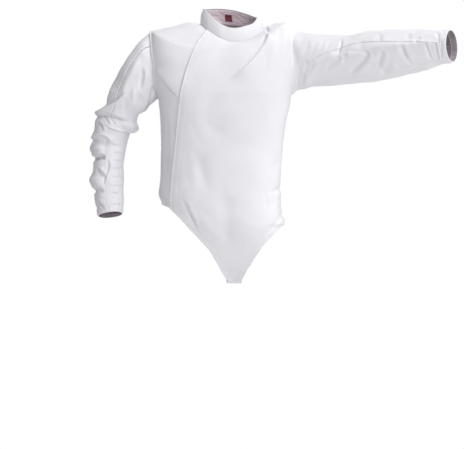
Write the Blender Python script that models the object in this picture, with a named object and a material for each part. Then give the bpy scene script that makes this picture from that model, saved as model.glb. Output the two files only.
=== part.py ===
"""Fencing jacket of heavy white cotton, hollow and filled out as worn.

The tables and functions work in millimetres and the scene is in metres. +Z is up, the
front faces -Y and the wearer's left is +X, the side of the raised sleeve. The origin is
the middle of the neck, where the wearer holds the jacket up.

Every piece is a wall of cloth. The torso pieces lie on one surface of closed rings that
run from the crotch to the neck, and the sleeves lie on rings that start at the armhole.
Pieces that are sewn together share their edge points and stand a seam's width apart.
"""
import math

import bpy
import numpy as np

MM = 0.001

# Cloth and seams
WALL = 2.0
LINING_WALL = 1.0
LABEL_WALL = 0.6
SEAM_GAP = 0.3
LAP_GAP = 1.0

# Front overlap: how far the under front runs on below the over front, how far beyond it
# the over front comes back to the body, and the levels below the hem where it does too
LAP_WIDTH = 45.0
LAP_FADE = 40.0
LAP_COLUMNS = 3
LAP_LOW_LEVEL = 2.0
LAP_FULL_LEVEL = 2.9
NARROW_FRONT = 200.0

# Hem bands and strap
CUFF_LENGTH = 18.0
STRAP_WIDTH = 40.0
STRAP_COLUMNS = 4

# Armhole: half its width as a share of the chest's depth, and the steps round half of it
ARMHOLE_SHARE = 0.5
ARMHOLE_STEPS = 10
ARMHOLE_STEP = 180.0 / ARMHOLE_STEPS

# Columns of the panels and of the sleeves' two pieces
OVER_COLUMNS = 12
UNDER_COLUMNS = 5
BACK_COLUMNS = 16
LEFT_UPPER_COLUMNS = 16
LEFT_UNDER_COLUMNS = 8
RIGHT_UPPER_COLUMNS = 12
RIGHT_UNDER_COLUMNS = 14

# The torso's rings, from the point of the V up to the neck seam. right and left are the
# wearer's, front and back the middle of each, square the exponent of the ring's outline.
RING_COLUMNS = ("right_x", "left_x", "right_z", "left_z", "front_z", "back_z",
                "front_y", "back_y", "square")
TORSO_ROWS = (
    (-150, 150, -720, -720, -702, -720, -46, 60, 2.2),    # point of the V
    (-170, 155, -655, -655, -655, -655, -88, 85, 2.3),    # groin
    (-185, 158, -600, -600, -600, -600, -108, 100, 2.4),  # below the hem
    (-193, 146, -492, -545, -535, -505, -118, 104, 2.5),  # waist hem
    (-203, 135, -460, -485, -475, -460, -119, 97, 2.5),   # hip
    (-198, 134, -415, -420, -420, -412, -117, 88, 2.5),   # waist
    (-197, 139, -345, -345, -345, -345, -118, 90, 2.5),   # ribs
    (-199, 146, -270, -278, -275, -270, -122, 96, 2.6),   # chest
    (-201, 157, -225, -222, -228, -225, -124, 98, 2.7),   # below the armpit
    (-205, 163, -194, -188, -196, -190, -124, 98, 2.8),   # armpit
    (-219, 168, -152, -146, -160, -145, -120, 95, 3.0),   # low armhole
    (-224, 172, -104, -96, -118, -90, -112, 90, 3.0),     # middle of the armhole
    (-229, 172, -60, -42, -88, -50, -104, 84, 2.8),       # high armhole
    (-226, 158, -12, 8, -70, -22, -96, 76, 2.5),          # shoulder point
    (-196, 146, -3, 15, -62, -10, -88, 70, 2.3),          # outer shoulder
    (-155, 126, 6, 13, -55, 0, -80, 66, 2.1),             # middle of the shoulder
    (-118, 106, 15, 4, -50, 8, -73, 62, 2.0),             # inner shoulder
    (-88, 91, 10, -9, -47, 14, -67, 60, 2.0),             # neck seam
)
HEM_LEVEL = 3
ARMPIT_LEVEL = 9
SHOULDER_LEVEL = 13
NECK_LEVEL = 17

# Halvings that find an edge's angle closely enough
HALVINGS = 30

# Rows of mesh: levels close together where the leg edge leaves the side seam, then the
# number in each step between two rings, below the armpit and above the shoulder
LEVELS_BELOW_HEM = (0, 0.33, 0.67, 1, 1.33, 1.67, 2, 2.25, 2.5, 2.72, 2.86, 2.94, 2.98)
STEPS_BELOW_ARMPIT = (2, 3, 3, 3, 2, 2)
STEPS_ABOVE_SHOULDER = (1, 1, 1, 1)

# The stand collar, from the neck seam to its rim, with the same columns
COLLAR_ROWS = (
    (-88, 91, 10, -9, -47, 14, -67, 60, 2.0),
    (-87, 84, 32, 12, -27, 37, -66, 56, 2.0),
    (-79, 72, 54, 31, -7, 58, -62, 48, 2.0),
)
COLLAR_STEPS = 3
LINING_LOW = 0.08
LINING_HIGH = 0.92
LINING_START = 122.0
LINING_END = 462.0

# Label: its angle, half its width in collar columns, and its foot and top between the
# lining's middle rows
LABEL_ANGLE = 264.0
LABEL_REACH = 0.9
LABEL_ROWS = (0.2, 0.9)

# Edges of the over front: the closing edge with the right edge of the V, and the left
# edge of the V
EDGE_COLUMNS = ("up", "across")
CLOSING_EDGE = (
    (-702, -12), (-677, -27), (-650, -41), (-615, -62), (-588, -87), (-559, -114),
    (-527, -142), (-503, -167), (-466, -167), (-425, -164), (-370, -158), (-316, -153),
    (-275, -149), (-228, -144), (-187, -139), (-139, -128), (-90, -112), (-48, -94),
    (-9, -67), (20, -50),
)
POINT_EDGE = (
    (-702, 26), (-670, 42), (-629, 68), (-605, 84), (-568, 118), (-545, 146), (-500, 160),
)

# Angles between which a ring crosses each edge
CLOSING_SPAN = (60.0, 180.0)
POINT_SPAN = (0.0, 92.0)

# Sleeve rings after the armhole. top is the upper or outer edge and bottom the lower or
# inner one, as across and up; y is the ring's middle and deep its half depth.
SLEEVE_COLUMNS = ("top_x", "top_z", "bottom_x", "bottom_z", "y", "deep", "square")
LEFT_SLEEVE_ROWS = (
    (182, -7, 189, -170, 6, 58, 2.3),
    (224, -17, 230, -163, -8, 63, 2.2),
    (278, -24, 282, -162, -26, 64, 2.1),
    (326, -26, 331, -159, -44, 63, 2.1),
    (373, -18, 380, -156, -64, 62, 2.1),
    (426, -17, 432, -148, -90, 60, 2.1),
    (458, -19, 466, -143, -106, 57, 2.1),
    (490, -21, 499, -136, -122, 54, 2.1),
    (517, -23, 526, -129, -137, 50, 2.1),
    (543, -26, 551, -120, -151, 47, 2.0),
    (566, -28, 571, -117, -164, 45, 2.0),
    (583, -28, 586, -115, -173, 44, 2.0),
)
RIGHT_SLEEVE_ROWS = (
    (-250, -34, -209, -198, -3, 58, 2.3),
    (-281, -71, -217, -206, -1, 62, 2.2),
    (-312, -117, -229, -216, 2, 63, 2.1),
    (-337, -165, -243, -232, 6, 62, 2.1),
    (-355, -210, -260, -242, 10, 60, 2.1),
    (-380, -246, -265, -259, 14, 60, 2.1),
    (-382, -266, -265, -276, 14, 58, 2.1),
    (-382, -284, -284, -290, 13, 54, 2.1),
    (-386, -305, -289, -308, 11, 52, 2.1),
    (-390, -330, -294, -332, 8, 51, 2.1),
    (-386, -356, -298, -356, 5, 50, 2.1),
    (-385, -389, -302, -386, 0, 50, 2.1),
    (-389, -426, -300, -423, -6, 49, 2.1),
    (-381, -453, -301, -451, -11, 49, 2.1),
    (-379, -484, -300, -478, -17, 48, 2.1),
    (-370, -524, -302, -515, -26, 47, 2.1),
)

# Lengthwise sleeve seams, in degrees from the top edge round the front, by the share of
# the sleeve's length. The upper piece runs over the top from the back to the front seam.
SEAM_COLUMNS = ("share", "front", "back")
LEFT_SEAMS = (
    (0.0, 162, 234), (0.06, 150, 240), (0.12, 118, 250), (0.2, 90, 260), (0.3, 74, 268),
    (0.45, 62, 274), (0.62, 67, 276), (0.8, 72, 276), (0.92, 80, 276), (1.0, 84, 276),
)
RIGHT_SEAMS = (
    (0.0, 54, 306), (0.12, 55, 305), (0.25, 62, 300), (0.38, 76, 290), (0.5, 83, 284),
    (0.7, 82, 280), (1.0, 80, 280),
)
SLEEVE_ROWS_OF_MESH = 22
SLEEVE_FINE_STEP = 3.0

# Folds seen from the front or the back, as across and up at each end. A trough has a
# positive depth and a ridge a negative one.
FOLD_COLUMNS = ("face", "x1", "z1", "x2", "z2", "half_width", "depth")
FRONT = -1
BACK = 1
FOLD_END_SHARPNESS = 1.25
FOLD_SIDE_SHARPNESS = 1.6
FOLDS = (
    # chest, from the left shoulder towards the breastbone
    (FRONT, 92, -34, 58, -108, 16, 11),
    (FRONT, 66, -98, -24, -150, 20, 9),
    (FRONT, 104, -50, 74, -122, 15, -6),
    (FRONT, 122, -60, 100, -165, 18, 7),
    (FRONT, 150, -120, 116, -220, 17, 7),
    # right chest, waist and belly
    (FRONT, -118, -265, -84, -335, 17, 7),
    (FRONT, -108, -335, -50, -465, 18, 7),
    (FRONT, 136, -385, 52, -366, 15, 7),
    (FRONT, 140, -432, 34, -456, 17, 8),
    (FRONT, 144, -478, 60, -514, 15, 7),
    (FRONT, -128, -476, -66, -594, 16, 8),
    # back: drawn down from the raised arm, and across the waist
    (BACK, 122, -70, 36, -185, 18, 9),
    (BACK, 62, -46, -24, -134, 17, 7),
    (BACK, 134, -176, 56, -284, 18, 8),
    (BACK, -188, -106, -106, -224, 18, 8),
    (BACK, -190, -398, -56, -432, 16, 8),
    (BACK, 128, -398, 6, -442, 17, 9),
    (BACK, -92, -296, -36, -424, 18, 7),
    # left sleeve
    (FRONT, 206, -36, 252, -144, 15, 8),
    (FRONT, 300, -62, 318, -132, 12, 10),
    (FRONT, 324, -46, 350, -124, 13, -7),
    (FRONT, 366, -82, 424, -138, 14, 8),
    (FRONT, 428, -66, 484, -128, 13, 7),
    (BACK, 210, -46, 252, -134, 16, 8),
    (BACK, 290, -56, 334, -134, 15, 8),
    (BACK, 370, -46, 404, -124, 14, 7),
    # right sleeve
    (FRONT, -236, -96, -292, -196, 15, 7),
    (FRONT, -374, -232, -260, -262, 12, -8),
    (FRONT, -352, -214, -260, -226, 11, 7),
    (FRONT, -374, -286, -286, -292, 11, 9),
    (FRONT, -382, -338, -316, -352, 11, 7),
    (FRONT, -380, -402, -308, -410, 11, 7),
    (FRONT, -376, -460, -306, -466, 11, 7),
    (BACK, -368, -224, -270, -246, 12, 8),
    (BACK, -378, -284, -292, -296, 12, 8),
    (BACK, -382, -364, -300, -372, 12, 7),
)

# Route of the crotch strap from the point of the V to the back hem
STRAP_ROUTE_COLUMNS = ("x", "y", "z")
STRAP_ROUTE = (
    (7, -46, -702), (6, -22, -709), (3, 8, -710), (-3, 40, -697), (-9, 68, -662),
    (-14, 88, -616), (-19, 98, -564), (-22, 101, -515),
)
STRAP_STEPS = 14
STRAP_LAP_LEVEL = 3.4
STRAP_LAP_TURN = 1.9
BACK_MIDDLE = 270.0

# Small steps, in degrees, levels and millimetres, between which a normal is measured
TURN_STEP = 1.0
LEVEL_STEP = 0.02
ALONG_STEP = 2.0

# Edges sharper than this are shaded as edges
SHARP_EDGE = math.radians(50)

# Direction that settles which way the narrow faces of a wall's edge are split
RIM_WAY = np.array([0.37, 0.23, 0.90])

# Finishes: colour, roughness
WHITE_COTTON = ((0.80, 0.79, 0.82), 0.9)
SHADED_COTTON = ((0.74, 0.73, 0.77), 0.9)
LINING_CLOTH = ((0.52, 0.42, 0.45), 0.95)
LABEL_CLOTH = ((0.23, 0.05, 0.08), 0.8)


def read_table(names, rows):
    """Columns of a table by name."""
    return {name: np.array([row[k] for row in rows], float) for k, name in enumerate(names)}


TORSO = read_table(RING_COLUMNS, TORSO_ROWS)
COLLAR = read_table(RING_COLUMNS, COLLAR_ROWS)
CLOSING = read_table(EDGE_COLUMNS, CLOSING_EDGE)
POINT = read_table(EDGE_COLUMNS, POINT_EDGE)
FOLD_TABLE = read_table(FOLD_COLUMNS, FOLDS)
STRAP = read_table(STRAP_ROUTE_COLUMNS, STRAP_ROUTE)


def smooth(knots, values, t):
    """Smooth curve through values at knots that never overshoots them."""
    t = np.asarray(t, float)
    step = np.diff(knots)
    extra = (1,) * (values.ndim - 1)
    slope = np.diff(values, axis=0) / step.reshape(-1, *extra)
    before, after = slope[:-1], slope[1:]
    total = before + after
    same_way = before * after > 0
    mean = np.where(same_way, 2 * before * after / np.where(same_way, total, 1), 0)
    tangent = np.concatenate([slope[:1], mean, slope[-1:]])
    k = np.clip(np.searchsorted(knots, t, side="right") - 1, 0, len(knots) - 2)
    width = step[k].reshape(t.shape + extra)
    u = ((t - knots[k]) / step[k]).reshape(t.shape + extra)
    u = np.clip(u, 0, 1)
    return (values[k] * (1 + 2 * u) * (1 - u) ** 2 + tangent[k] * width * u * (1 - u) ** 2
            + values[k + 1] * u ** 2 * (3 - 2 * u) + tangent[k + 1] * width * u ** 2 * (u - 1))


def ease(t):
    """Smooth step from 0 to 1."""
    t = np.clip(t, 0, 1)
    return t * t * (3 - 2 * t)


def unit(vectors):
    """Vectors at length one."""
    length = np.linalg.norm(vectors, axis=-1, keepdims=True)
    return vectors / np.where(length > 0, length, 1)


def signed_power(value, power):
    """Power of the size of a value, with its sign kept."""
    return np.sign(value) * np.abs(value) ** power


def ring_point(table, angle, level):
    """Point of a ring surface at an angle in degrees: 0 left, 90 front, 180 right, 270 back."""
    knots = np.arange(len(table["square"]), dtype=float)
    row = {name: smooth(knots, values, level) for name, values in table.items()}
    turn = np.radians(angle)
    across = signed_power(np.cos(turn), 2 / row["square"])
    deep = np.abs(np.sin(turn)) ** (2 / row["square"])
    in_front = np.sin(turn) >= 0
    middle_x = (row["left_x"] + row["right_x"]) / 2
    middle_z = (row["left_z"] + row["right_z"]) / 2
    x = middle_x + (row["left_x"] - row["right_x"]) / 2 * across
    y = deep * np.where(in_front, row["front_y"], row["back_y"])
    z = (middle_z + (row["left_z"] - row["right_z"]) / 2 * across
         + (np.where(in_front, row["front_z"], row["back_z"]) - middle_z) * np.sin(turn) ** 2)
    return np.stack(np.broadcast_arrays(x, y, z), axis=-1)


def ring_normal(table, angle, level):
    """Outward normal of a ring surface, whose levels rise as its rings do."""
    top = len(table["square"]) - 1.0
    low = np.clip(level - LEVEL_STEP, 0, top)
    high = np.clip(level + LEVEL_STEP, 0, top)
    across = ring_point(table, angle + TURN_STEP, level) - ring_point(table, angle - TURN_STEP, level)
    up = ring_point(table, angle, high) - ring_point(table, angle, low)
    return unit(np.cross(up, across))


def torso_point(angle, level):
    """Point of the torso surface."""
    return ring_point(TORSO, angle, level)


def torso_normal(angle, level):
    """Outward normal of the torso surface."""
    return ring_normal(TORSO, angle, level)


def fold_depth(points, normals):
    """How far each point moves along its normal for the folds that cross it."""
    moved = np.zeros(points.shape[:-1])
    for k in range(len(FOLDS)):
        fold = {name: values[k] for name, values in FOLD_TABLE.items()}
        run = np.array([fold["x2"] - fold["x1"], fold["z2"] - fold["z1"]])
        place = points[..., [0, 2]] - np.array([fold["x1"], fold["z1"]])
        length = np.linalg.norm(run)
        along = place @ run / length ** 2
        aside = (place[..., 0] * run[1] - place[..., 1] * run[0]) / length
        fading = ease((1 - np.abs(2 * along - 1)) * FOLD_END_SHARPNESS)
        facing = ease(normals[..., 1] * fold["face"] * FOLD_SIDE_SHARPNESS)
        moved -= fold["depth"] * fading * facing * np.exp(-(aside / fold["half_width"]) ** 2)
    return moved


def levels_between(first, steps):
    """Levels from one ring up through the next ones, without the last."""
    return [first + k + j / count for k, count in enumerate(steps) for j in range(count)]


def armhole_level(turn):
    """Level of the armhole at a turn in degrees from the shoulder point."""
    return SHOULDER_LEVEL - (SHOULDER_LEVEL - ARMPIT_LEVEL) * (1 - math.cos(math.radians(turn))) / 2


ARMHOLE_LEVELS = [armhole_level(180 - k * ARMHOLE_STEP) for k in range(ARMHOLE_STEPS + 1)]
LEVELS_ABOVE_HEM = (levels_between(HEM_LEVEL, STEPS_BELOW_ARMPIT) + ARMHOLE_LEVELS[:-1]
                    + levels_between(SHOULDER_LEVEL, STEPS_ABOVE_SHOULDER) + [float(NECK_LEVEL)])


def armhole_inset(level):
    """Angle between a ring's side and the armhole's edge, in degrees."""
    if not ARMPIT_LEVEL < level < SHOULDER_LEVEL:
        return 0.0
    knots = np.arange(len(TORSO_ROWS), dtype=float)
    square = float(smooth(knots, TORSO["square"], level))
    height = 1 - 2 * (SHOULDER_LEVEL - level) / (SHOULDER_LEVEL - ARMPIT_LEVEL)
    width = ARMHOLE_SHARE * math.sqrt(max(0.0, 1 - height * height))
    return math.degrees(math.asin(width ** (square / 2)))


def angle_on_edge(level, edge, aside, low, high):
    """Angle at which a ring crosses an edge line of the over front, moved aside."""
    for _ in range(HALVINGS):
        middle = (low + high) / 2
        x, _, z = torso_point(middle, level)
        if x - np.interp(z, edge["up"], edge["across"]) - aside > 0:
            low = middle
        else:
            high = middle
    return (low + high) / 2


def closing_angle(level, aside=0.0):
    """Angle of the closing edge, moved aside."""
    return angle_on_edge(level, CLOSING, aside, *CLOSING_SPAN)


def point_angle(level):
    """Angle of the left edge of the V."""
    return angle_on_edge(level, POINT, 0.0, *POINT_SPAN)


def over_angles(level):
    """Angles of the over front's columns, from its closing edge to its side seam."""
    first = closing_angle(level)
    last = point_angle(level) if level < HEM_LEVEL else armhole_inset(level)
    width = torso_point(last, level)[0] - torso_point(first, level)[0]
    lap = LAP_WIDTH * min(1.0, width / NARROW_FRONT) / LAP_COLUMNS
    near = [closing_angle(level, lap * k) for k in range(1, LAP_COLUMNS + 1)]
    rest = [near[-1] + (last - near[-1]) * k / OVER_COLUMNS for k in range(1, OVER_COLUMNS + 1)]
    return [first] + near + rest


def under_angles(level):
    """Angles of the under front's columns, from its side seam to its edge under the lap."""
    first = 180.0 - armhole_inset(level)
    over = over_angles(level)
    seen = [first + (over[0] - first) * k / UNDER_COLUMNS for k in range(UNDER_COLUMNS)]
    return seen + over[:LAP_COLUMNS + 1]


def back_angles(level):
    """Angles of the back's columns, from the right side seam to the left one."""
    inset = armhole_inset(level)
    span = 180.0 - 2 * inset
    return [180.0 + inset + span * k / BACK_COLUMNS for k in range(BACK_COLUMNS + 1)]


def grid_of(levels, angles_at):
    """Angles and levels of a panel's points, a row for each level."""
    angles = np.array([angles_at(level) for level in levels])
    return angles, np.repeat(np.array(levels)[:, None], angles.shape[1], axis=1)


def lap_lift(points, level):
    """How far the over front stands off the surface where it lies on the under front."""
    aside = points[..., 0] - np.interp(points[..., 2], CLOSING["up"], CLOSING["across"])
    lapped = 1 - ease((aside - LAP_WIDTH - LAP_GAP) / LAP_FADE)
    above = ease((level - LAP_LOW_LEVEL) / (LAP_FULL_LEVEL - LAP_LOW_LEVEL))
    return (WALL + LAP_GAP) * lapped * above


def sleeve_rings(rows, side):
    """Rings of a sleeve at every step round it, the armhole first, and their distances."""
    table = read_table(SLEEVE_COLUMNS, rows)
    turns = np.arange(0, 360, SLEEVE_FINE_STEP)
    top = np.stack([table["top_x"], table["y"], table["top_z"]], axis=-1)
    bottom = np.stack([table["bottom_x"], table["y"], table["bottom_z"]], axis=-1)
    middle = (top + bottom) / 2
    half = (top - bottom) / 2
    axis = unit(np.gradient(middle, axis=0))
    front = unit(np.cross(axis, half)) * side
    front = front * table["deep"][:, None]
    power = (2 / table["square"])[:, None, None]
    upward = signed_power(np.cos(np.radians(turns))[None, :, None], power)
    forward = signed_power(np.sin(np.radians(turns))[None, :, None], power)
    rings = middle[:, None] + half[:, None] * upward + front[:, None] * forward
    first = armhole_points(turns, side)
    rings = np.concatenate([first[None], rings])
    centre = np.concatenate([first.mean(axis=0)[None], middle])
    distance = np.concatenate([[0], np.cumsum(np.linalg.norm(np.diff(centre, axis=0), axis=1))])
    return rings, distance


def armhole_points(turns, side):
    """Points of an armhole at turns from the shoulder point round the front."""
    points = []
    for turn in turns:
        level = armhole_level(turn)
        inset = armhole_inset(level)
        in_front = turn <= 180
        angle = inset if in_front else -inset
        points.append(torso_point(angle if side > 0 else 180 - angle, level))
    return np.array(points)


class Sleeve:
    """Surface of a sleeve: rings by distance from the armhole, turns round each ring."""

    def __init__(self, rows, seams, side):
        self.side = side
        self.rings, self.distance = sleeve_rings(rows, side)
        self.length = self.distance[-1]
        self.seams = read_table(SEAM_COLUMNS, seams)
        self.turns = np.arange(0, 360, SLEEVE_FINE_STEP)

    def point(self, turn, distance):
        """Points at turns on the ring at one distance."""
        ring = smooth(self.distance, self.rings, np.array([distance]))[0]
        ring = np.concatenate([ring, ring[:1]])
        knots = np.append(self.turns, 360.0)
        turn = np.mod(turn, 360.0)
        return np.stack([np.interp(turn, knots, ring[:, k]) for k in range(3)], axis=-1)

    def normal(self, turn, distance):
        """Outward normals at turns on the ring at one distance."""
        near = max(0.0, distance - ALONG_STEP)
        far = min(self.length, distance + ALONG_STEP)
        along = self.point(turn, far) - self.point(turn, near)
        spread = 2 * SLEEVE_FINE_STEP
        round_way = self.point(turn + spread, distance) - self.point(turn - spread, distance)
        return unit(np.cross(round_way, along)) * self.side

    def seam_turns(self, distance):
        """Turns of the front and back seams at a distance."""
        share = distance / self.length
        front = float(smooth(self.seams["share"], self.seams["front"], share))
        back = float(smooth(self.seams["share"], self.seams["back"], share))
        return front, back


def shared_armhole_normal(sleeve, turn):
    """Normal for the edge points of both pieces at an armhole's own steps."""
    level = armhole_level(turn)
    inset = armhole_inset(level)
    angle = inset if turn <= 180 else -inset
    angle = angle if sleeve.side > 0 else 180 - angle
    return unit(torso_normal(angle, level) + sleeve.normal(np.array([float(turn)]), 0.0)[0])


def armhole_edge(sleeve, turns):
    """Edge points and normals at turns, straight between the armhole's own steps."""
    knots = np.arange(0, 360 + ARMHOLE_STEP, ARMHOLE_STEP)
    points = armhole_points(np.minimum(knots, 360.0), sleeve.side)
    points[-1] = points[0]
    normals = np.array([shared_armhole_normal(sleeve, turn % 360) for turn in knots])
    turns = np.mod(turns, 360.0)
    edge = np.stack([np.interp(turns, knots, points[:, k]) for k in range(3)], axis=-1)
    normal = np.stack([np.interp(turns, knots, normals[:, k]) for k in range(3)], axis=-1)
    return edge, normal


def neck_normal(angle):
    """Normal for the edge points of the panels and the collar at the neck seam."""
    return unit(torso_normal(angle, NECK_LEVEL) + ring_normal(COLLAR, angle, 0.0))


def pull_apart(points, rows=(), columns=()):
    """Edges of a grid moved inwards by half a seam gap; 0 is the first and -1 the last."""
    pulled = points.copy()
    for row in rows:
        inner = 1 if row == 0 else -2
        pulled[row] += unit(points[inner] - points[row]) * SEAM_GAP / 2
    for column in columns:
        inner = 1 if column == 0 else -2
        pulled[:, column] += unit(points[:, inner] - points[:, column]) * SEAM_GAP / 2
    return pulled


def new_material(name, finish):
    """Principled material of a finish."""
    colour, roughness = finish
    material = bpy.data.materials.new(name)
    material.use_nodes = True
    shader = material.node_tree.nodes["Principled BSDF"]
    shader.inputs["Base Color"].default_value = (*colour, 1.0)
    shader.inputs["Roughness"].default_value = roughness
    shader.inputs["Metallic"].default_value = 0.0
    return material


def wall_object(name, outer, inner, finish, closed=False):
    """Object for a wall of cloth between two grids, closed round its columns or not."""
    rows, columns = outer.shape[:2]
    points = np.concatenate([outer.reshape(-1, 3), inner.reshape(-1, 3)]) * MM
    half = rows * columns
    heights = points @ RIM_WAY

    def at(row, column, inside):
        return inside * half + row * columns + column % columns

    def rim(near, far):
        """Two faces of the wall's edge, split the same way on both sides of a seam."""
        if heights[near] > heights[far]:
            return [[near, far, far + half], [near, far + half, near + half]]
        return [[near, far, near + half], [far, far + half, near + half]]

    faces = []
    last = columns if closed else columns - 1
    for row in range(rows - 1):
        for column in range(last):
            low, across = (row, column), (row, column + 1)
            up, far = (row + 1, column), (row + 1, column + 1)
            for corners in ((low, across, far), (low, far, up)):
                faces.append([at(r, c, 0) for r, c in corners])
                faces.append([at(r, c, 1) for r, c in reversed(corners)])
    for column in range(last):
        faces += rim(at(0, column + 1, 0), at(0, column, 0))
        faces += rim(at(rows - 1, column, 0), at(rows - 1, column + 1, 0))
    if not closed:
        for row in range(rows - 1):
            faces += rim(at(row, 0, 0), at(row + 1, 0, 0))
            faces += rim(at(row + 1, columns - 1, 0), at(row, columns - 1, 0))
    mesh = bpy.data.meshes.new(name)
    mesh.from_pydata([tuple(point) for point in points], [], faces)
    mesh.materials.append(new_material(name, finish))
    mesh.update()
    if signed_volume(mesh) < 0:
        mesh.flip_normals()
    mesh.shade_smooth()
    mesh.set_sharp_from_angle(angle=SHARP_EDGE)
    piece = bpy.data.objects.new(name, mesh)
    bpy.context.collection.objects.link(piece)
    return piece


def signed_volume(mesh):
    """Volume inside a closed mesh, negative where its faces point in."""
    total = 0.0
    for face in mesh.polygons:
        corners = [mesh.vertices[k].co for k in face.vertices]
        for k in range(1, len(corners) - 1):
            total += corners[0].dot(corners[k].cross(corners[k + 1])) / 6
    return total


def torso_panel(name, levels, angles_at, finish, sleeves, lapped=False, rows=(), columns=()):
    """Panel of the torso, with its armhole and neck edges shared with what is sewn on."""
    angles, heights = grid_of(levels, angles_at)
    base = torso_point(angles, heights)
    normals = torso_normal(angles, heights)
    for row, level in enumerate(levels):
        if not ARMPIT_LEVEL <= level <= SHOULDER_LEVEL:
            continue
        cosine = 1 - 2 * (SHOULDER_LEVEL - level) / (SHOULDER_LEVEL - ARMPIT_LEVEL)
        turn = round(math.degrees(math.acos(cosine)) / ARMHOLE_STEP) * ARMHOLE_STEP
        for column, sleeve in sleeves.items():
            from_top = turn if angles_in_front(angles[row]) else (360 - turn) % 360
            normals[row, column] = shared_armhole_normal(sleeve, from_top)
    if levels[-1] == NECK_LEVEL:
        normals[-1] = [neck_normal(angle) for angle in angles[-1]]
    outer = base + normals * fold_depth(base, normals)[..., None]
    if lapped:
        outer = outer + normals * lap_lift(base, heights)[..., None]
    inner = outer - normals * WALL
    shift = pull_apart(outer, rows, columns) - outer
    return wall_object(name, outer + shift, inner + shift, finish)


def angles_in_front(angles):
    """Whether a row of angles runs across the front."""
    return math.sin(math.radians(float(np.mean(angles)))) > 0


def sleeve_piece(name, sleeve, columns, upper, finish):
    """One of a sleeve's two pieces, from the armhole to the cuff."""
    end = sleeve.length - CUFF_LENGTH
    distances = end * (np.arange(SLEEVE_ROWS_OF_MESH + 1) / SLEEVE_ROWS_OF_MESH)
    outer, inner = [], []
    for distance in distances:
        turns = piece_turns(sleeve, distance, columns, upper)
        if distance == 0:
            base, normal = armhole_edge(sleeve, turns)
        else:
            base, normal = sleeve.point(turns, distance), sleeve.normal(turns, distance)
        point = base + normal * fold_depth(base, normal)[:, None]
        outer.append(point)
        inner.append(point - normal * WALL)
    outer, inner = np.array(outer), np.array(inner)
    shift = pull_apart(outer, rows=(0, -1), columns=(0, -1)) - outer
    return wall_object(name, outer + shift, inner + shift, finish)


def piece_turns(sleeve, distance, columns, upper):
    """Turns of a sleeve piece's columns at a distance from the armhole."""
    front, back = sleeve.seam_turns(distance)
    if upper:
        return np.linspace(back - 360.0, front, columns + 1)
    return np.linspace(front, back, columns + 1)


def cuff(name, sleeve, upper_columns, under_columns, finish):
    """Hem band at a sleeve's end."""
    start = sleeve.length - CUFF_LENGTH
    outer, inner = [], []
    for distance in (start, sleeve.length - CUFF_LENGTH / 2, sleeve.length):
        turns = np.concatenate([piece_turns(sleeve, start, upper_columns, True)[:-1],
                                piece_turns(sleeve, start, under_columns, False)[:-1]])
        point, normal = sleeve.point(turns, distance), sleeve.normal(turns, distance)
        point = point + normal * fold_depth(point, normal)[:, None]
        outer.append(point)
        inner.append(point - normal * WALL)
    outer, inner = np.array(outer), np.array(inner)
    shift = pull_apart(outer, rows=(0,)) - outer
    return wall_object(name, outer + shift, inner + shift, finish, closed=True)


def collar_angles():
    """Angles of the collar's columns and their lift, from its inner end to its outer one."""
    under = list(reversed(under_angles(float(NECK_LEVEL))))
    back = back_angles(float(NECK_LEVEL))
    over = [360.0 + angle for angle in reversed(over_angles(float(NECK_LEVEL)))]
    angles = np.array(under + back[1:] + over[1:])
    seam = torso_point(angles, np.full(angles.shape, float(NECK_LEVEL)))
    lift = np.where(angles > 360.0, lap_lift(seam, float(NECK_LEVEL)), 0.0)
    return angles, lift


def collar_point(angles, heights, lift):
    """Points and normals of the collar's outside; the neck seam's normals at its foot."""
    angle_grid, height_grid = np.meshgrid(angles, np.array(heights) * (len(COLLAR_ROWS) - 1.0))
    points = ring_point(COLLAR, angle_grid, height_grid)
    normals = ring_normal(COLLAR, angle_grid, height_grid)
    if heights[0] == 0:
        normals[0] = [neck_normal(angle) for angle in angles]
    return points + normals * lift[None, :, None], normals


def build_collar(finish):
    """Stand collar: one strip, whose outer end laps over its inner end."""
    angles, lift = collar_angles()
    heights = [k / COLLAR_STEPS for k in range(COLLAR_STEPS + 1)]
    outer, normals = collar_point(angles, heights, lift)
    inner = outer - normals * WALL
    shift = pull_apart(outer, rows=(0,)) - outer
    return wall_object("collar", outer + shift, inner + shift, finish)


def lining_grid():
    """Inside face of the collar lining and its normals."""
    angles, lift = collar_angles()
    kept = (angles > LINING_START) & (angles < LINING_END)
    heights = [LINING_LOW, 1 / COLLAR_STEPS, 2 / COLLAR_STEPS, LINING_HIGH]
    points, normals = collar_point(angles[kept], heights, lift[kept])
    return points - normals * (WALL + SEAM_GAP + LINING_WALL), normals, angles[kept]


def build_collar_lining(finish):
    """Strip of lining inside the collar."""
    inner, normals, _ = lining_grid()
    return wall_object("collar_lining", inner + normals * LINING_WALL, inner, finish)


def build_neck_label(finish):
    """Small blank label on the lining, at the back of the neck."""
    inner, normals, angles = lining_grid()
    middle = int(np.argmin(np.abs(angles - LABEL_ANGLE)))
    rows, normal_rows = [], []
    for share in LABEL_ROWS:
        row = inner[1] * (1 - share) + inner[2] * share
        normal = normals[1] * (1 - share) + normals[2] * share
        places = [middle - LABEL_REACH, middle, middle + LABEL_REACH]
        index = np.arange(len(angles))
        rows.append(np.stack([np.interp(places, index, row[:, k]) for k in range(3)], axis=-1))
        normal_rows.append(np.stack([np.interp(places, index, normal[:, k]) for k in range(3)], axis=-1))
    outer = np.array(rows) - np.array(normal_rows) * SEAM_GAP
    inside = outer - np.array(normal_rows) * LABEL_WALL
    return wall_object("neck_label", outer, inside, finish)


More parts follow.
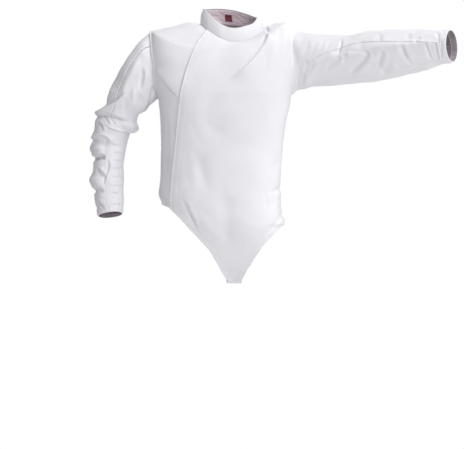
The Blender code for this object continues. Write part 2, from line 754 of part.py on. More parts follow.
def build_crotch_strap(finish):
    """Strap from the point of the V, between the legs, to the inside of the back hem."""
    knots = np.arange(len(STRAP_ROUTE), dtype=float)
    places = np.linspace(0, knots[-1], STRAP_STEPS + 1)
    route = np.stack([smooth(knots, STRAP[name], places) for name in STRAP_ROUTE_COLUMNS], axis=-1)
    aside = np.linspace(-0.5, 0.5, STRAP_COLUMNS + 1) * STRAP_WIDTH
    outer = route[:, None, :] + aside[None, :, None] * np.array([1.0, 0.0, 0.0])
    along = unit(np.gradient(route, axis=0))
    normals = unit(np.cross(along, np.array([1.0, 0.0, 0.0])))
    normals = np.repeat(normals[:, None, :], STRAP_COLUMNS + 1, axis=1)
    point_angles = np.linspace(closing_angle(0.0), point_angle(0.0), STRAP_COLUMNS + 1)
    outer[0] = torso_point(point_angles, 0.0)
    normals[0] = torso_normal(point_angles, 0.0)
    lap_point, lap_way = [], []
    for level in (HEM_LEVEL, STRAP_LAP_LEVEL):
        angles = BACK_MIDDLE + aside / STRAP_LAP_TURN
        normal = torso_normal(angles, float(level))
        lap_point.append(torso_point(angles, float(level)) - normal * (WALL + LAP_GAP))
        lap_way.append(normal)
    outer = np.concatenate([outer, np.array(lap_point)])
    normals = np.concatenate([normals, np.array(lap_way)])
    inner = outer - normals * WALL
    shift = pull_apart(outer, rows=(0,)) - outer
    return wall_object("crotch_strap", outer + shift, inner + shift, finish)


def main():
    """Build every piece of the jacket."""
    for item in list(bpy.data.objects):
        bpy.data.objects.remove(item)
    left = Sleeve(LEFT_SLEEVE_ROWS, LEFT_SEAMS, 1)
    right = Sleeve(RIGHT_SLEEVE_ROWS, RIGHT_SEAMS, -1)
    torso_panel("front_over", list(LEVELS_BELOW_HEM) + LEVELS_ABOVE_HEM, over_angles, WHITE_COTTON,
                {-1: left}, lapped=True, rows=(0, -1), columns=(-1,))
    torso_panel("front_under", LEVELS_ABOVE_HEM, under_angles, SHADED_COTTON,
                {0: right}, rows=(-1,), columns=(0,))
    torso_panel("back", LEVELS_ABOVE_HEM, back_angles, WHITE_COTTON,
                {0: right, -1: left}, rows=(-1,), columns=(0, -1))
    sleeve_piece("sleeve_left_upper", left, LEFT_UPPER_COLUMNS, True, WHITE_COTTON)
    sleeve_piece("sleeve_left_under", left, LEFT_UNDER_COLUMNS, False, SHADED_COTTON)
    sleeve_piece("sleeve_right_upper", right, RIGHT_UPPER_COLUMNS, True, SHADED_COTTON)
    sleeve_piece("sleeve_right_under", right, RIGHT_UNDER_COLUMNS, False, WHITE_COTTON)
    cuff("cuff_left", left, LEFT_UPPER_COLUMNS, LEFT_UNDER_COLUMNS, WHITE_COTTON)
    cuff("cuff_right", right, RIGHT_UPPER_COLUMNS, RIGHT_UNDER_COLUMNS, WHITE_COTTON)
    build_collar(WHITE_COTTON)
    build_collar_lining(LINING_CLOTH)
    build_neck_label(LABEL_CLOTH)
    build_crotch_strap(WHITE_COTTON)


main()
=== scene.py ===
"""Looks of a fencing jacket of heavy white cotton, hollow and filled out as worn.

Tables and shapes are in millimetres and the scene is in metres. +Z is up, the front faces
-Y and the wearer's left, the side of the raised sleeve, is +X. Each piece of cloth is a
thin shell on the form of its solid, with its folds, seams, hems and stitches.
"""

import logging
import math
from collections.abc import Callable, Sequence
from dataclasses import dataclass, field
from enum import Enum
from functools import cached_property

import bpy
import numpy as np
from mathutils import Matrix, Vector


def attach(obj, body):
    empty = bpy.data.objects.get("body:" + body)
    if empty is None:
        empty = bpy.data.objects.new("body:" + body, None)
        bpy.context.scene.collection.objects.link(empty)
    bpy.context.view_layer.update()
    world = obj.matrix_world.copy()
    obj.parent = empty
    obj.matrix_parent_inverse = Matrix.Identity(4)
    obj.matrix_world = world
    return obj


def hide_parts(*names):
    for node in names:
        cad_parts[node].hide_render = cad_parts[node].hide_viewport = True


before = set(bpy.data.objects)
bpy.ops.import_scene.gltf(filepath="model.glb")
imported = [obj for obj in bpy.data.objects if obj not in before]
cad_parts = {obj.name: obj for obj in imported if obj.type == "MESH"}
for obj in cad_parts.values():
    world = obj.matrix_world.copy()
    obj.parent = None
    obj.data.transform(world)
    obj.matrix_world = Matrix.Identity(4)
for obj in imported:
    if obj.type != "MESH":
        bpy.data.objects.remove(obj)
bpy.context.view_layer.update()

LOG = logging.getLogger("fencing_jacket")
MM = 0.001
TINY = 1e-9

Array = np.ndarray
Row = tuple[float, ...]


# Numbers and vectors


def slopes(values: Array, step: Array) -> Array:
    """Slopes at the knots of a curve that never overshoots its values.

    Args:
        values: Values, one for each knot along the first axis.
        step: Distance from each knot to the next.

    Returns:
        The slope at each knot, in the shape of values.
    """
    slope = np.diff(values, axis=0) / step.reshape(-1, *(1,) * (values.ndim - 1))
    before, after = slope[:-1], slope[1:]
    total = before + after
    same_way = before * after > 0
    mean = np.where(same_way, 2 * before * after / np.where(same_way, total, 1), 0)
    return np.concatenate([slope[:1], mean, slope[-1:]])


def cubic(ends: tuple[Array, Array], leaving: tuple[Array, Array], width: Array, u: Array) -> Array:
    """Cubic curve between two values.

    Args:
        ends: Values at the start and at the end.
        leaving: Slopes at the start and at the end.
        width: Distance from the start to the end.
        u: Share of the way, from 0 to 1.

    Returns:
        The value at each share.
    """
    return (ends[0] * (1 + 2 * u) * (1 - u) ** 2 + leaving[0] * width * u * (1 - u) ** 2
            + ends[1] * u ** 2 * (3 - 2 * u) + leaving[1] * width * u ** 2 * (u - 1))


def smooth(knots: Array, values: Array, t: Array) -> Array:
    """Smooth curve through values at knots that never overshoots them.

    Args:
        knots: Rising places of the values.
        values: Values, one for each knot along the first axis.
        t: Places to read.

    Returns:
        The curve's values, with the shape of t and then that of one value.
    """
    t = np.asarray(t, float)
    step = np.diff(knots)
    extra = (1,) * (values.ndim - 1)
    slope = slopes(values, step)
    k = np.clip(np.searchsorted(knots, t, side="right") - 1, 0, len(knots) - 2)
    width = step[k].reshape(t.shape + extra)
    u = np.clip(((t - knots[k]) / step[k]).reshape(t.shape + extra), 0, 1)
    return cubic((values[k], values[k + 1]), (slope[k], slope[k + 1]), width, u)


def ease(t: Array) -> Array:
    """Smooth step from 0 to 1."""
    t = np.clip(t, 0, 1)
    return t * t * (3 - 2 * t)


def unit(vectors: Array) -> Array:
    """Vectors at length one."""
    length = np.linalg.norm(vectors, axis=-1, keepdims=True)
    return vectors / np.where(length > 0, length, 1)


def signed_power(value: Array, power: Array) -> Array:
    """Power of the size of a value, with its sign kept."""
    return np.sign(value) * np.abs(value) ** power


def columns_of(names: Sequence[str], rows: Sequence[Row]) -> dict[str, Array]:
    """Columns of a table by name."""
    return {name: np.array([row[k] for row in rows], float) for k, name in enumerate(names)}


def run_along(points: Array, axis: int) -> Array:
    """Length from the first point along an axis of a grid, in millimetres."""
    steps = np.linalg.norm(np.diff(points, axis=axis), axis=-1)
    return np.insert(np.cumsum(steps, axis=axis), 0, 0.0, axis=axis)


def distance_to_line(points: Array, line: Array) -> tuple[Array, Array]:
    """Distance of points from a line of straight pieces, and where along it they lie.

    Args:
        points: Points, with coordinates along the last axis.
        line: Points of the line, in order.

    Returns:
        The distance of each point and the length along the line of its nearest place.
    """
    flat = points.reshape(-1, points.shape[-1])
    best = np.full(len(flat), 1e12)
    place = np.zeros(len(flat))
    passed = 0.0
    for start, end in zip(line[:-1], line[1:]):
        run = end - start
        length = float(np.linalg.norm(run))
        if length < TINY:
            continue
        t = np.clip((flat - start) @ run / length ** 2, 0, 1)
        gap = ((flat - start - t[:, None] * run) ** 2).sum(axis=1)
        nearer = gap < best
        best = np.where(nearer, gap, best)
        place = np.where(nearer, passed + t * length, place)
        passed += length
    return np.sqrt(best).reshape(points.shape[:-1]), place.reshape(points.shape[:-1])


# Kinds of fold


class Side(Enum):
    """Side of the jacket that a fold lies on."""

    FRONT = -1
    BACK = 1
    ROUND = 0


class Crease(Enum):
    """Shape of a fold: a round trough, a sharp one, or a step up on the left of its route."""

    SOFT = "soft"
    CRISP = "crisp"
    STEP = "step"


# Folds on the front and the back are placed as seen from this far in front, level with
# this height.
SEEN_FROM = 4000.0
SEEN_HEIGHT = -546.3


def seen_from_front(points: Array) -> Array:
    """Places of points as seen from in front.

    Args:
        points: Points in millimetres.

    Returns:
        Across and up of each, in the plane through the neck.
    """
    nearer = 1 + points[..., 1] / SEEN_FROM
    up = SEEN_HEIGHT + (points[..., 2] - SEEN_HEIGHT) / nearer
    return np.stack([points[..., 0] / nearer, up], axis=-1)


# How far a step's raised side runs on, in widths, before it has sunk to a third
STEP_SPREAD = 5.0


@dataclass(frozen=True)
class Fold:
    """A trough in the cloth along a route, or a ridge where its depth is negative.

    The route is across and up as seen from in front, or round and along a sleeve for a
    fold whose side is ROUND. A lip is a ridge beside the trough, on the left of the route
    where it is positive, as a share of the depth. A fold narrows as it fades at its ends.
    """

    route: tuple[tuple[float, float], ...]
    width: float
    depth: float
    lip: float = 0.0
    fade: tuple[float, float] = (0.4, 0.4)
    crease: Crease = Crease.SOFT
    side: Side = Side.FRONT

    @cached_property
    def line(self) -> Array:
        """Smooth line through the route's points.

        Returns:
            Points of the line, in order.
        """
        points = np.array(self.route, float)
        if len(points) == 2:
            return np.linspace(points[0], points[1], 9)
        knots = np.insert(np.cumsum(np.linalg.norm(np.diff(points, axis=0), axis=1)), 0, 0.0)
        places = np.linspace(0, knots[-1], 7 * (len(points) - 1) + 1)
        return smooth(knots, points, places)

    def push(self, places: Array) -> Array:
        """How far points move outwards.

        Args:
            places: Points in the plane of the route.

        Returns:
            The move of each point in millimetres, without regard to the side.
        """
        reach = (STEP_SPREAD * 4 if self.crease is Crease.STEP else 4.2) * self.width
        low, high = self.line.min(axis=0) - reach, self.line.max(axis=0) + reach
        near = np.all((places > low) & (places < high), axis=-1)
        moved = np.zeros(places.shape[:-1])
        if not near.any():
            return moved
        flat = places[near]
        gap, along = distance_to_line(flat, self.line)
        total = float(np.linalg.norm(np.diff(self.line, axis=0), axis=1).sum())
        knots = run_along(self.line[None], 1)[0]
        tangent = unit(np.gradient(self.line, axis=0))
        way = np.stack([np.interp(along, knots, tangent[:, k]) for k in range(2)], axis=-1)
        foot = np.stack([np.interp(along, knots, self.line[:, k]) for k in range(2)], axis=-1)
        offset = flat - foot
        left = np.sign(way[:, 0] * offset[:, 1] - way[:, 1] * offset[:, 0])
        share = along / total
        first = ease(share / self.fade[0]) if self.fade[0] > 0 else np.ones_like(share)
        last = ease((1 - share) / self.fade[1]) if self.fade[1] > 0 else np.ones_like(share)
        ends = first * last
        aside = gap * left / (self.width * (0.45 + 0.55 * ends))
        if self.crease is Crease.STEP:
            shape = -1.0 * ease((aside + 1) / 2) * np.exp(-np.maximum(aside, 0) / STEP_SPREAD)
        elif self.crease is Crease.CRISP:
            shape = np.exp(-1.7 * (np.sqrt(aside ** 2 + 0.03) - math.sqrt(0.03)))
        else:
            shape = np.exp(-aside ** 2)
        if self.lip:
            side = 1.0 if self.lip > 0 else -1.0
            shape = shape - abs(self.lip) * np.exp(-((aside * side - 1.9) / 1.1) ** 2)
        moved[near] = -self.depth * ends * shape
        return moved


# Forms that the cloth lies on

RING_COLUMNS = ("right_x", "left_x", "right_z", "left_z", "front_z", "back_z",
                "front_y", "back_y", "square")
TURN_STEP = 1.0
LEVEL_STEP = 0.02


@dataclass(frozen=True)
class RingForm:
    """Form of closed rings, one for each whole level."""

    rows: tuple[Row, ...]

    @cached_property
    def table(self) -> dict[str, Array]:
        """Columns of the rings' table."""
        return columns_of(RING_COLUMNS, self.rows)

    def point(self, angle: Array, level: Array) -> Array:
        """Points of the form.

        Args:
            angle: Degrees round the ring: 0 left, 90 front, 180 right, 270 back.
            level: Level, with as many values as angle.

        Returns:
            The points, in millimetres.
        """
        angle, level = np.broadcast_arrays(np.asarray(angle, float), np.asarray(level, float))
        knots = np.arange(len(self.rows), dtype=float)
        row = {name: smooth(knots, values, level) for name, values in self.table.items()}
        turn = np.radians(angle)
        across = signed_power(np.cos(turn), 2 / row["square"])
        deep = np.abs(np.sin(turn)) ** (2 / row["square"])
        in_front = np.sin(turn) >= 0
        middle_x = (row["left_x"] + row["right_x"]) / 2
        middle_z = (row["left_z"] + row["right_z"]) / 2
        x = middle_x + (row["left_x"] - row["right_x"]) / 2 * across
        y = deep * np.where(in_front, row["front_y"], row["back_y"])
        z = (middle_z + (row["left_z"] - row["right_z"]) / 2 * across
             + (np.where(in_front, row["front_z"], row["back_z"]) - middle_z) * np.sin(turn) ** 2)
        return np.stack([x, y, z], axis=-1)

    def normal(self, angle: Array, level: Array) -> Array:
        """Outward normals of the form.

        Args:
            angle: Degrees round the ring.
            level: Level, with as many values as angle.

        Returns:
            The normals, at length one.
        """
        angle, level = np.broadcast_arrays(np.asarray(angle, float), np.asarray(level, float))
        top = len(self.rows) - 1.0
        low = np.clip(level - LEVEL_STEP, 0, top)
        high = np.clip(level + LEVEL_STEP, 0, top)
        across = self.point(angle + TURN_STEP, level) - self.point(angle - TURN_STEP, level)
        up = self.point(angle, high) - self.point(angle, low)
        return unit(np.cross(up, across))


@dataclass(frozen=True)
class TorsoForm(RingForm):
    """Form of the body, with the lines that its panels are cut along."""

    closing: tuple[Row, ...] = ()
    point_edge: tuple[Row, ...] = ()
    hem: int = 3
    armpit: int = 9
    shoulder: int = 13
    neck: int = 17
    armhole_share: float = 0.5

    def armhole_level(self, turn: Array) -> Array:
        """Level of the armhole at a turn in degrees from the shoulder point."""
        drop = (1 - np.cos(np.radians(turn))) / 2
        return self.shoulder - (self.shoulder - self.armpit) * drop

    def armhole_inset(self, level: Array) -> Array:
        """Angle between a ring's side and the armhole's edge.

        Args:
            level: Levels between the armpit and the shoulder.

        Returns:
            The angle at each, in degrees.
        """
        level = np.asarray(level, float)
        square = smooth(np.arange(len(self.rows), dtype=float), self.table["square"], level)
        height = 1 - 2 * (self.shoulder - level) / (self.shoulder - self.armpit)
        width = self.armhole_share * np.sqrt(np.clip(1 - height * height, 0, 1))
        return np.degrees(np.arcsin(width ** (square / 2)))

    def armhole_point(self, turn: Array, side: int) -> Array:
        """Points of an armhole at turns from the shoulder point round the front."""
        level, angle = self.armhole_place(turn, side)
        return self.point(angle, level)

    def armhole_place(self, turn: Array, side: int) -> tuple[Array, Array]:
        """Levels and angles of an armhole.

        Args:
            turn: Degrees from the shoulder point round the front.
            side: 1 for the left armhole and -1 for the right one.

        Returns:
            The level and the angle at each turn.
        """
        turn = np.mod(np.asarray(turn, float), 360.0)
        level = self.armhole_level(turn)
        inset = self.armhole_inset(level)
        angle = np.where(turn <= 180, inset, -inset)
        return level, angle if side > 0 else 180 - angle

    def angle_on_edge(self, level: Array, edge: tuple[Row, ...], aside: float,
                      span: tuple[float, float]) -> Array:
        """Angles at which rings cross an edge line, moved aside.

        Args:
            level: Levels of the rings.
            edge: The line as up and across, upwards.
            aside: How far the line is moved to the left, in millimetres.
            span: Angles between which each ring crosses it.

        Returns:
            The angle on each ring.
        """
        line = columns_of(("up", "across"), edge)
        low, high = np.full(level.shape, span[0]), np.full(level.shape, span[1])
        for _ in range(30):
            middle = (low + high) / 2
            at = self.point(middle, level)
            left_of = at[..., 0] - np.interp(at[..., 2], line["up"], line["across"]) - aside > 0
            low, high = np.where(left_of, middle, low), np.where(left_of, high, middle)
        return (low + high) / 2

    def closing_angle(self, level: Array, aside: float = 0.0) -> Array:
        """Angles of the closing edge, moved aside."""
        return self.angle_on_edge(level, self.closing, aside, (60.0, 180.0))

    def point_angle(self, level: Array) -> Array:
        """Angles of the left edge of the V."""
        return self.angle_on_edge(level, self.point_edge, 0.0, (0.0, 92.0))


TORSO = TorsoForm(
    rows=(
        (-150, 150, -720, -720, -702, -720, -46, 60, 2.2),
        (-170, 155, -655, -655, -655, -655, -88, 85, 2.3),
        (-185, 158, -600, -600, -600, -600, -108, 100, 2.4),
        (-193, 146, -492, -545, -535, -505, -118, 104, 2.5),
        (-203, 135, -460, -485, -475, -460, -119, 97, 2.5),
        (-198, 134, -415, -420, -420, -412, -117, 88, 2.5),
        (-197, 139, -345, -345, -345, -345, -118, 90, 2.5),
        (-199, 146, -270, -278, -275, -270, -122, 96, 2.6),
        (-201, 157, -225, -222, -228, -225, -124, 98, 2.7),
        (-205, 163, -194, -188, -196, -190, -124, 98, 2.8),
        (-219, 168, -152, -146, -160, -145, -120, 95, 3.0),
        (-224, 172, -104, -96, -118, -90, -112, 90, 3.0),
        (-229, 172, -60, -42, -88, -50, -104, 84, 2.8),
        (-226, 158, -12, 8, -70, -22, -96, 76, 2.5),
        (-196, 146, -3, 15, -62, -10, -88, 70, 2.3),
        (-155, 126, 6, 13, -55, 0, -80, 66, 2.1),
        (-118, 106, 15, 4, -50, 8, -73, 62, 2.0),
        (-88, 91, 10, -9, -47, 14, -67, 60, 2.0),
    ),
    closing=(
        (-702, -12), (-677, -27), (-650, -41), (-615, -62), (-588, -87), (-559, -114),
        (-527, -142), (-503, -167), (-466, -167), (-425, -164), (-370, -158), (-316, -153),
        (-275, -149), (-228, -144), (-187, -139), (-139, -128), (-90, -112), (-48, -94),
        (-9, -67), (20, -50),
    ),
    point_edge=(
        (-702, 26), (-670, 42), (-629, 68), (-605, 84), (-568, 118), (-545, 146), (-500, 160),
    ),
)
COLLAR = RingForm(rows=(
    (-88, 91, 10, -9, -47, 14, -67, 60, 2.0),
    (-87, 84, 32, 12, -27, 37, -66, 56, 2.0),
    (-79, 72, 54, 31, -7, 58, -62, 48, 2.0),
))

SLEEVE_COLUMNS = ("top_x", "top_z", "bottom_x", "bottom_z", "y", "deep", "square")
SEAM_COLUMNS = ("share", "front", "back")


@dataclass(frozen=True)
class SleeveForm:
    """Form of a sleeve: rings by distance from the armhole, turns round each ring."""

    side: int
    rows: tuple[Row, ...]
    seams: tuple[Row, ...]
    level_cuff: float = 0.0

    @cached_property
    def table(self) -> dict[str, Array]:
        """Columns of the rings' table."""
        return columns_of(SLEEVE_COLUMNS, self.rows)

    @cached_property
    def middles(self) -> Array:
        """Middle of each ring, the armhole's first.

        Returns:
            The middles, in millimetres.
        """
        t = self.table
        middle = np.stack([(t["top_x"] + t["bottom_x"]) / 2, t["y"],
                           (t["top_z"] + t["bottom_z"]) / 2], axis=-1)
        first = TORSO.armhole_point(np.arange(0, 360, 3.0), self.side).mean(axis=0)
        return np.concatenate([first[None], middle])

    @cached_property
    def distance(self) -> Array:
        """Distance of each ring from the armhole along the sleeve's middle."""
        return run_along(self.middles[None], 1)[0]

    @property
    def length(self) -> float:
        """Length of the sleeve along its middle."""
        return float(self.distance[-1])

    def rings_at(self, turn: Array) -> Array:
        """Points of every ring at turns.

        Args:
            turn: Degrees from the top edge round the front.

        Returns:
            The points, rings along the first axis and the shape of turn after it.
        """
        t = self.table
        top = np.stack([t["top_x"], t["y"], t["top_z"]], axis=-1)
        bottom = np.stack([t["bottom_x"], t["y"], t["bottom_z"]], axis=-1)
        middle, half = (top + bottom) / 2, (top - bottom) / 2
        axis = unit(np.gradient(middle, axis=0))
        front = unit(np.cross(axis, half)) * self.side * t["deep"][:, None]
        extra = (1,) * turn.ndim
        power = (2 / t["square"]).reshape(-1, *extra, 1)
        upward = signed_power(np.cos(np.radians(turn))[None, ..., None], power)
        forward = signed_power(np.sin(np.radians(turn))[None, ..., None], power)
        shape = (len(self.rows),) + extra + (3,)
        rings = (middle.reshape(shape) + half.reshape(shape) * upward
                 + front.reshape(shape) * forward)
        return np.concatenate([TORSO.armhole_point(turn, self.side)[None], rings])

    def point(self, turn: Array, distance: Array) -> Array:
        """Points at turns, a row of them for each distance.

        Args:
            turn: Degrees from the top edge round the front, in rows.
            distance: Distance of each row from the armhole.

        Returns:
            The points, in millimetres.
        """
        values = self.rings_at(turn)
        knots = self.distance
        step = np.diff(knots)
        slope = slopes(values, step)
        k = np.clip(np.searchsorted(knots, distance, side="right") - 1, 0, len(knots) - 2)
        row = np.arange(len(distance))
        width = step[k].reshape(-1, 1, 1)
        u = np.clip((distance - knots[k]) / step[k], 0, 1).reshape(-1, 1, 1)
        return cubic((values[k, row], values[k + 1, row]), (slope[k, row], slope[k + 1, row]), width, u)

    def normal(self, turn: Array, distance: Array) -> Array:
        """Outward normals at turns, a row of them for each distance.

        Args:
            turn: Degrees from the top edge round the front, in rows.
            distance: Distance of each row from the armhole.

        Returns:
            The normals, at length one.
        """
        near = np.maximum(0.0, distance - 2.0)
        far = np.minimum(self.length, distance + 2.0)
        along = self.point(turn, far) - self.point(turn, near)
        around = self.point(turn + 3.0, distance) - self.point(turn - 3.0, distance)
        return unit(np.cross(around, along)) * self.side

    def seam_turn(self, distance: Array, name: str) -> Array:
        """Turns of the seam called front or back at distances."""
        table = columns_of(SEAM_COLUMNS, self.seams)
        return smooth(table["share"], table[name], distance / self.length)


LEFT_SLEEVE = SleeveForm(
    side=1,
    rows=(
        (182, -7, 189, -170, 6, 58, 2.3),
        (224, -17, 230, -163, -8, 63, 2.2),
        (278, -24, 282, -162, -26, 64, 2.1),
        (326, -26, 331, -159, -44, 63, 2.1),
        (373, -18, 380, -156, -64, 62, 2.1),
        (426, -17, 432, -148, -90, 60, 2.1),
        (458, -19, 466, -143, -106, 57, 2.1),
        (490, -21, 499, -136, -122, 54, 2.1),
        (517, -23, 526, -129, -137, 50, 2.1),
        (543, -26, 551, -120, -151, 47, 2.0),
        (566, -28, 571, -117, -164, 45, 2.0),
        (583, -28, 586, -115, -173, 44, 2.0),
    ),
    seams=(
        (0.0, 162, 234), (0.06, 150, 240), (0.12, 118, 250), (0.2, 90, 260), (0.3, 74, 268),
        (0.45, 62, 274), (0.62, 67, 276), (0.8, 72, 276), (0.92, 80, 276), (1.0, 84, 276),
    ),
)
RIGHT_SLEEVE = SleeveForm(
    side=-1,
    rows=(
        (-250, -34, -209, -198, -3, 58, 2.3),
        (-281, -71, -217, -206, -1, 62, 2.2),
        (-312, -117, -229, -216, 2, 63, 2.1),
        (-337, -165, -243, -232, 6, 62, 2.1),
        (-355, -210, -260, -242, 10, 60, 2.1),
        (-380, -246, -265, -259, 14, 60, 2.1),
        (-382, -266, -265, -276, 14, 58, 2.1),
        (-382, -284, -284, -290, 13, 54, 2.1),
        (-386, -305, -289, -308, 11, 52, 2.1),
        (-390, -330, -294, -332, 8, 51, 2.1),
        (-386, -356, -298, -356, 5, 50, 2.1),
        (-385, -389, -302, -386, 0, 50, 2.1),
        (-389, -426, -300, -423, -6, 49, 2.1),
        (-381, -453, -301, -451, -11, 49, 2.1),
        (-379, -484, -300, -478, -17, 48, 2.1),
        (-370, -524, -302, -515, -26, 47, 2.1),
    ),
    seams=(
        (0.0, 54, 306), (0.12, 55, 305), (0.25, 62, 300), (0.38, 76, 290), (0.5, 83, 284),
        (0.7, 82, 280), (1.0, 80, 280),
    ),
    level_cuff=0.07,
)

# The jacket's own folds

BODY_FOLDS = (
    # drawn from the left shoulder to the breastbone
    Fold(((100.1, -13.9), (90.3, -39), (75.1, -61.2), (55.6, -86.2), (34.8, -107.9),
          (12.5, -126.5), (-16.7, -141.8)), 3.1, 13, 0, (0.05, 0.35), Crease.STEP),
    Fold(((98, -18), (88, -41), (73, -63), (53.5, -88), (32.5, -109.5), (10, -128)),
          6, 6.2, 0, (0.05, 0.4)),
    Fold(((91.7, 1.4), (104.2, -12.5)), 4.5, 4.5, 0.3, (0.2, 0.3)),
    Fold(((114, -27.8), (109.8, -75.1), (101.5, -133.5)), 7.5, -2.4, 0, (0.3, 0.5)),
    Fold(((136.2, 5.5), (129.3, -44.5), (136.2, -100.1)), 8.5, 2.6, 0.3, (0.15, 0.45)),
    Fold(((166.8, -2.8), (165.4, -44.5), (175.1, -94.6), (164, -144.6)),
          8.5, 3.6, 0.4, (0.15, 0.4)),
    Fold(((194.6, -89), (182.1, -133.5), (180.7, -178)), 6, 3.2, 0.5, (0.2, 0.3)),
    Fold(((200.2, -116.8), (191.8, -155.7), (172.4, -197.4)), 6, 3, 0.5, (0.2, 0.3)),
    # edge of the flat chest above the side that falls away
    Fold(((-216.8, -114), (-191.8, -146), (-166.8, -175.2), (-141.8, -205.8)),
          5.5, 6, 0, (0.12, 0.3), Crease.STEP),
    Fold(((-208.5, -200.2), (-200.2, -283.6), (-197.4, -367)), 6, 1.6, -0.5, (0.3, 0.3)),
    Fold(((-177.9, -233.6), (-180.7, -339.2), (-189, -450.4)), 6, 1.8, 0.4, (0.3, 0.3)),
    # waist and belly beside the closing edge
    Fold(((-115.4, -250), (-102.9, -289.2), (-84, -340)), 13, 1.7, 0.2, (0.4, 0.5)),
    Fold(((-109.8, -325.3), (-94.5, -375.3), (-75.1, -428.2), (-61.2, -472.6)),
          18, 3.0, 0.2, (0.4, 0.5)),
    Fold(((-127.9, -333.6), (-123.7, -400.4), (-111.2, -472.6)), 13, 1.8, 0.2, (0.4, 0.5)),
    Fold(((-139, -467.1), (-126.5, -500.4), (-114, -528.2), (-101.5, -553.3), (-87.6, -575.5)),
          5.5, 4.4, 0.4, (0.3, 0.4), Crease.CRISP),
    Fold(((-72.3, -255.8), (-44.5, -286.4), (-2.8, -294.7)), 20, 1.6),
    Fold(((-27.8, -422.6), (-16.7, -517.1), (-11.1, -617.2)), 22, 2.6),
    # left side at the waist, and the belly
    Fold(((127.9, -358.7), (118.1, -394.8), (119.5, -430.9)), 5.5, 2.6, 0.4, (0.3, 0.4)),
    Fold(((94.5, -450.4), (95.9, -508.8)), 5, 1.6, 0.4),
    Fold(((118.1, -444.8), (118.1, -475.4), (111.2, -508.8)), 5, 2.6, 0.5, (0.3, 0.4)),
    Fold(((141.8, -511.6), (126.5, -536.6), (105.6, -564.4), (83.4, -586.6)),
          5.5, 3.4, 0.5, (0.1, 0.4)),
    Fold(((150.1, -544.9), (125.1, -558.8), (102.9, -583.8), (83.4, -608.9)),
          5, 2.4, 0.4, (0.2, 0.4)),
    Fold(((141.8, -439.3), (122.3, -451.8), (100.1, -456)), 6.5, 3.6, 0.4, (0.05, 0.6)),
)
BACK_FOLDS = (
    Fold(((132, -60), (92, -112), (36, -150), (-30, -170)), 12, 6.5, 0.5, side=Side.BACK),
    Fold(((60, -40), (30, -76), (-16, -96)), 13, 3.6, 0.4, side=Side.BACK),
    Fold(((150, -150), (118, -216), (66, -276)), 12, 5.5, 0.5, side=Side.BACK),
    Fold(((-196, -86), (-168, -150), (-112, -206)), 13, 6.0, -0.5, side=Side.BACK),
    Fold(((-190, -200), (-160, -262), (-130, -300)), 12, 4.0, 0.4, side=Side.BACK),
    Fold(((-192, -392), (-136, -412), (-70, -424), (-20, -416)), 10, 5.0, 0.5, side=Side.BACK),
    Fold(((130, -396), (84, -424), (20, -438), (-26, -430)), 11, 5.5, 0.5, side=Side.BACK),
    Fold(((-170, -440), (-110, -462), (-56, -466)), 9, 3.6, 0.4, side=Side.BACK),
    Fold(((-96, -286), (-72, -350), (-36, -410)), 15, 4.2, 0.3, side=Side.BACK),
    Fold(((96, -300), (80, -360), (50, -402)), 13, 3.8, 0.3, side=Side.BACK),
    Fold(((20, -190), (4, -280), (-6, -350)), 22, 2.6, side=Side.BACK),
)
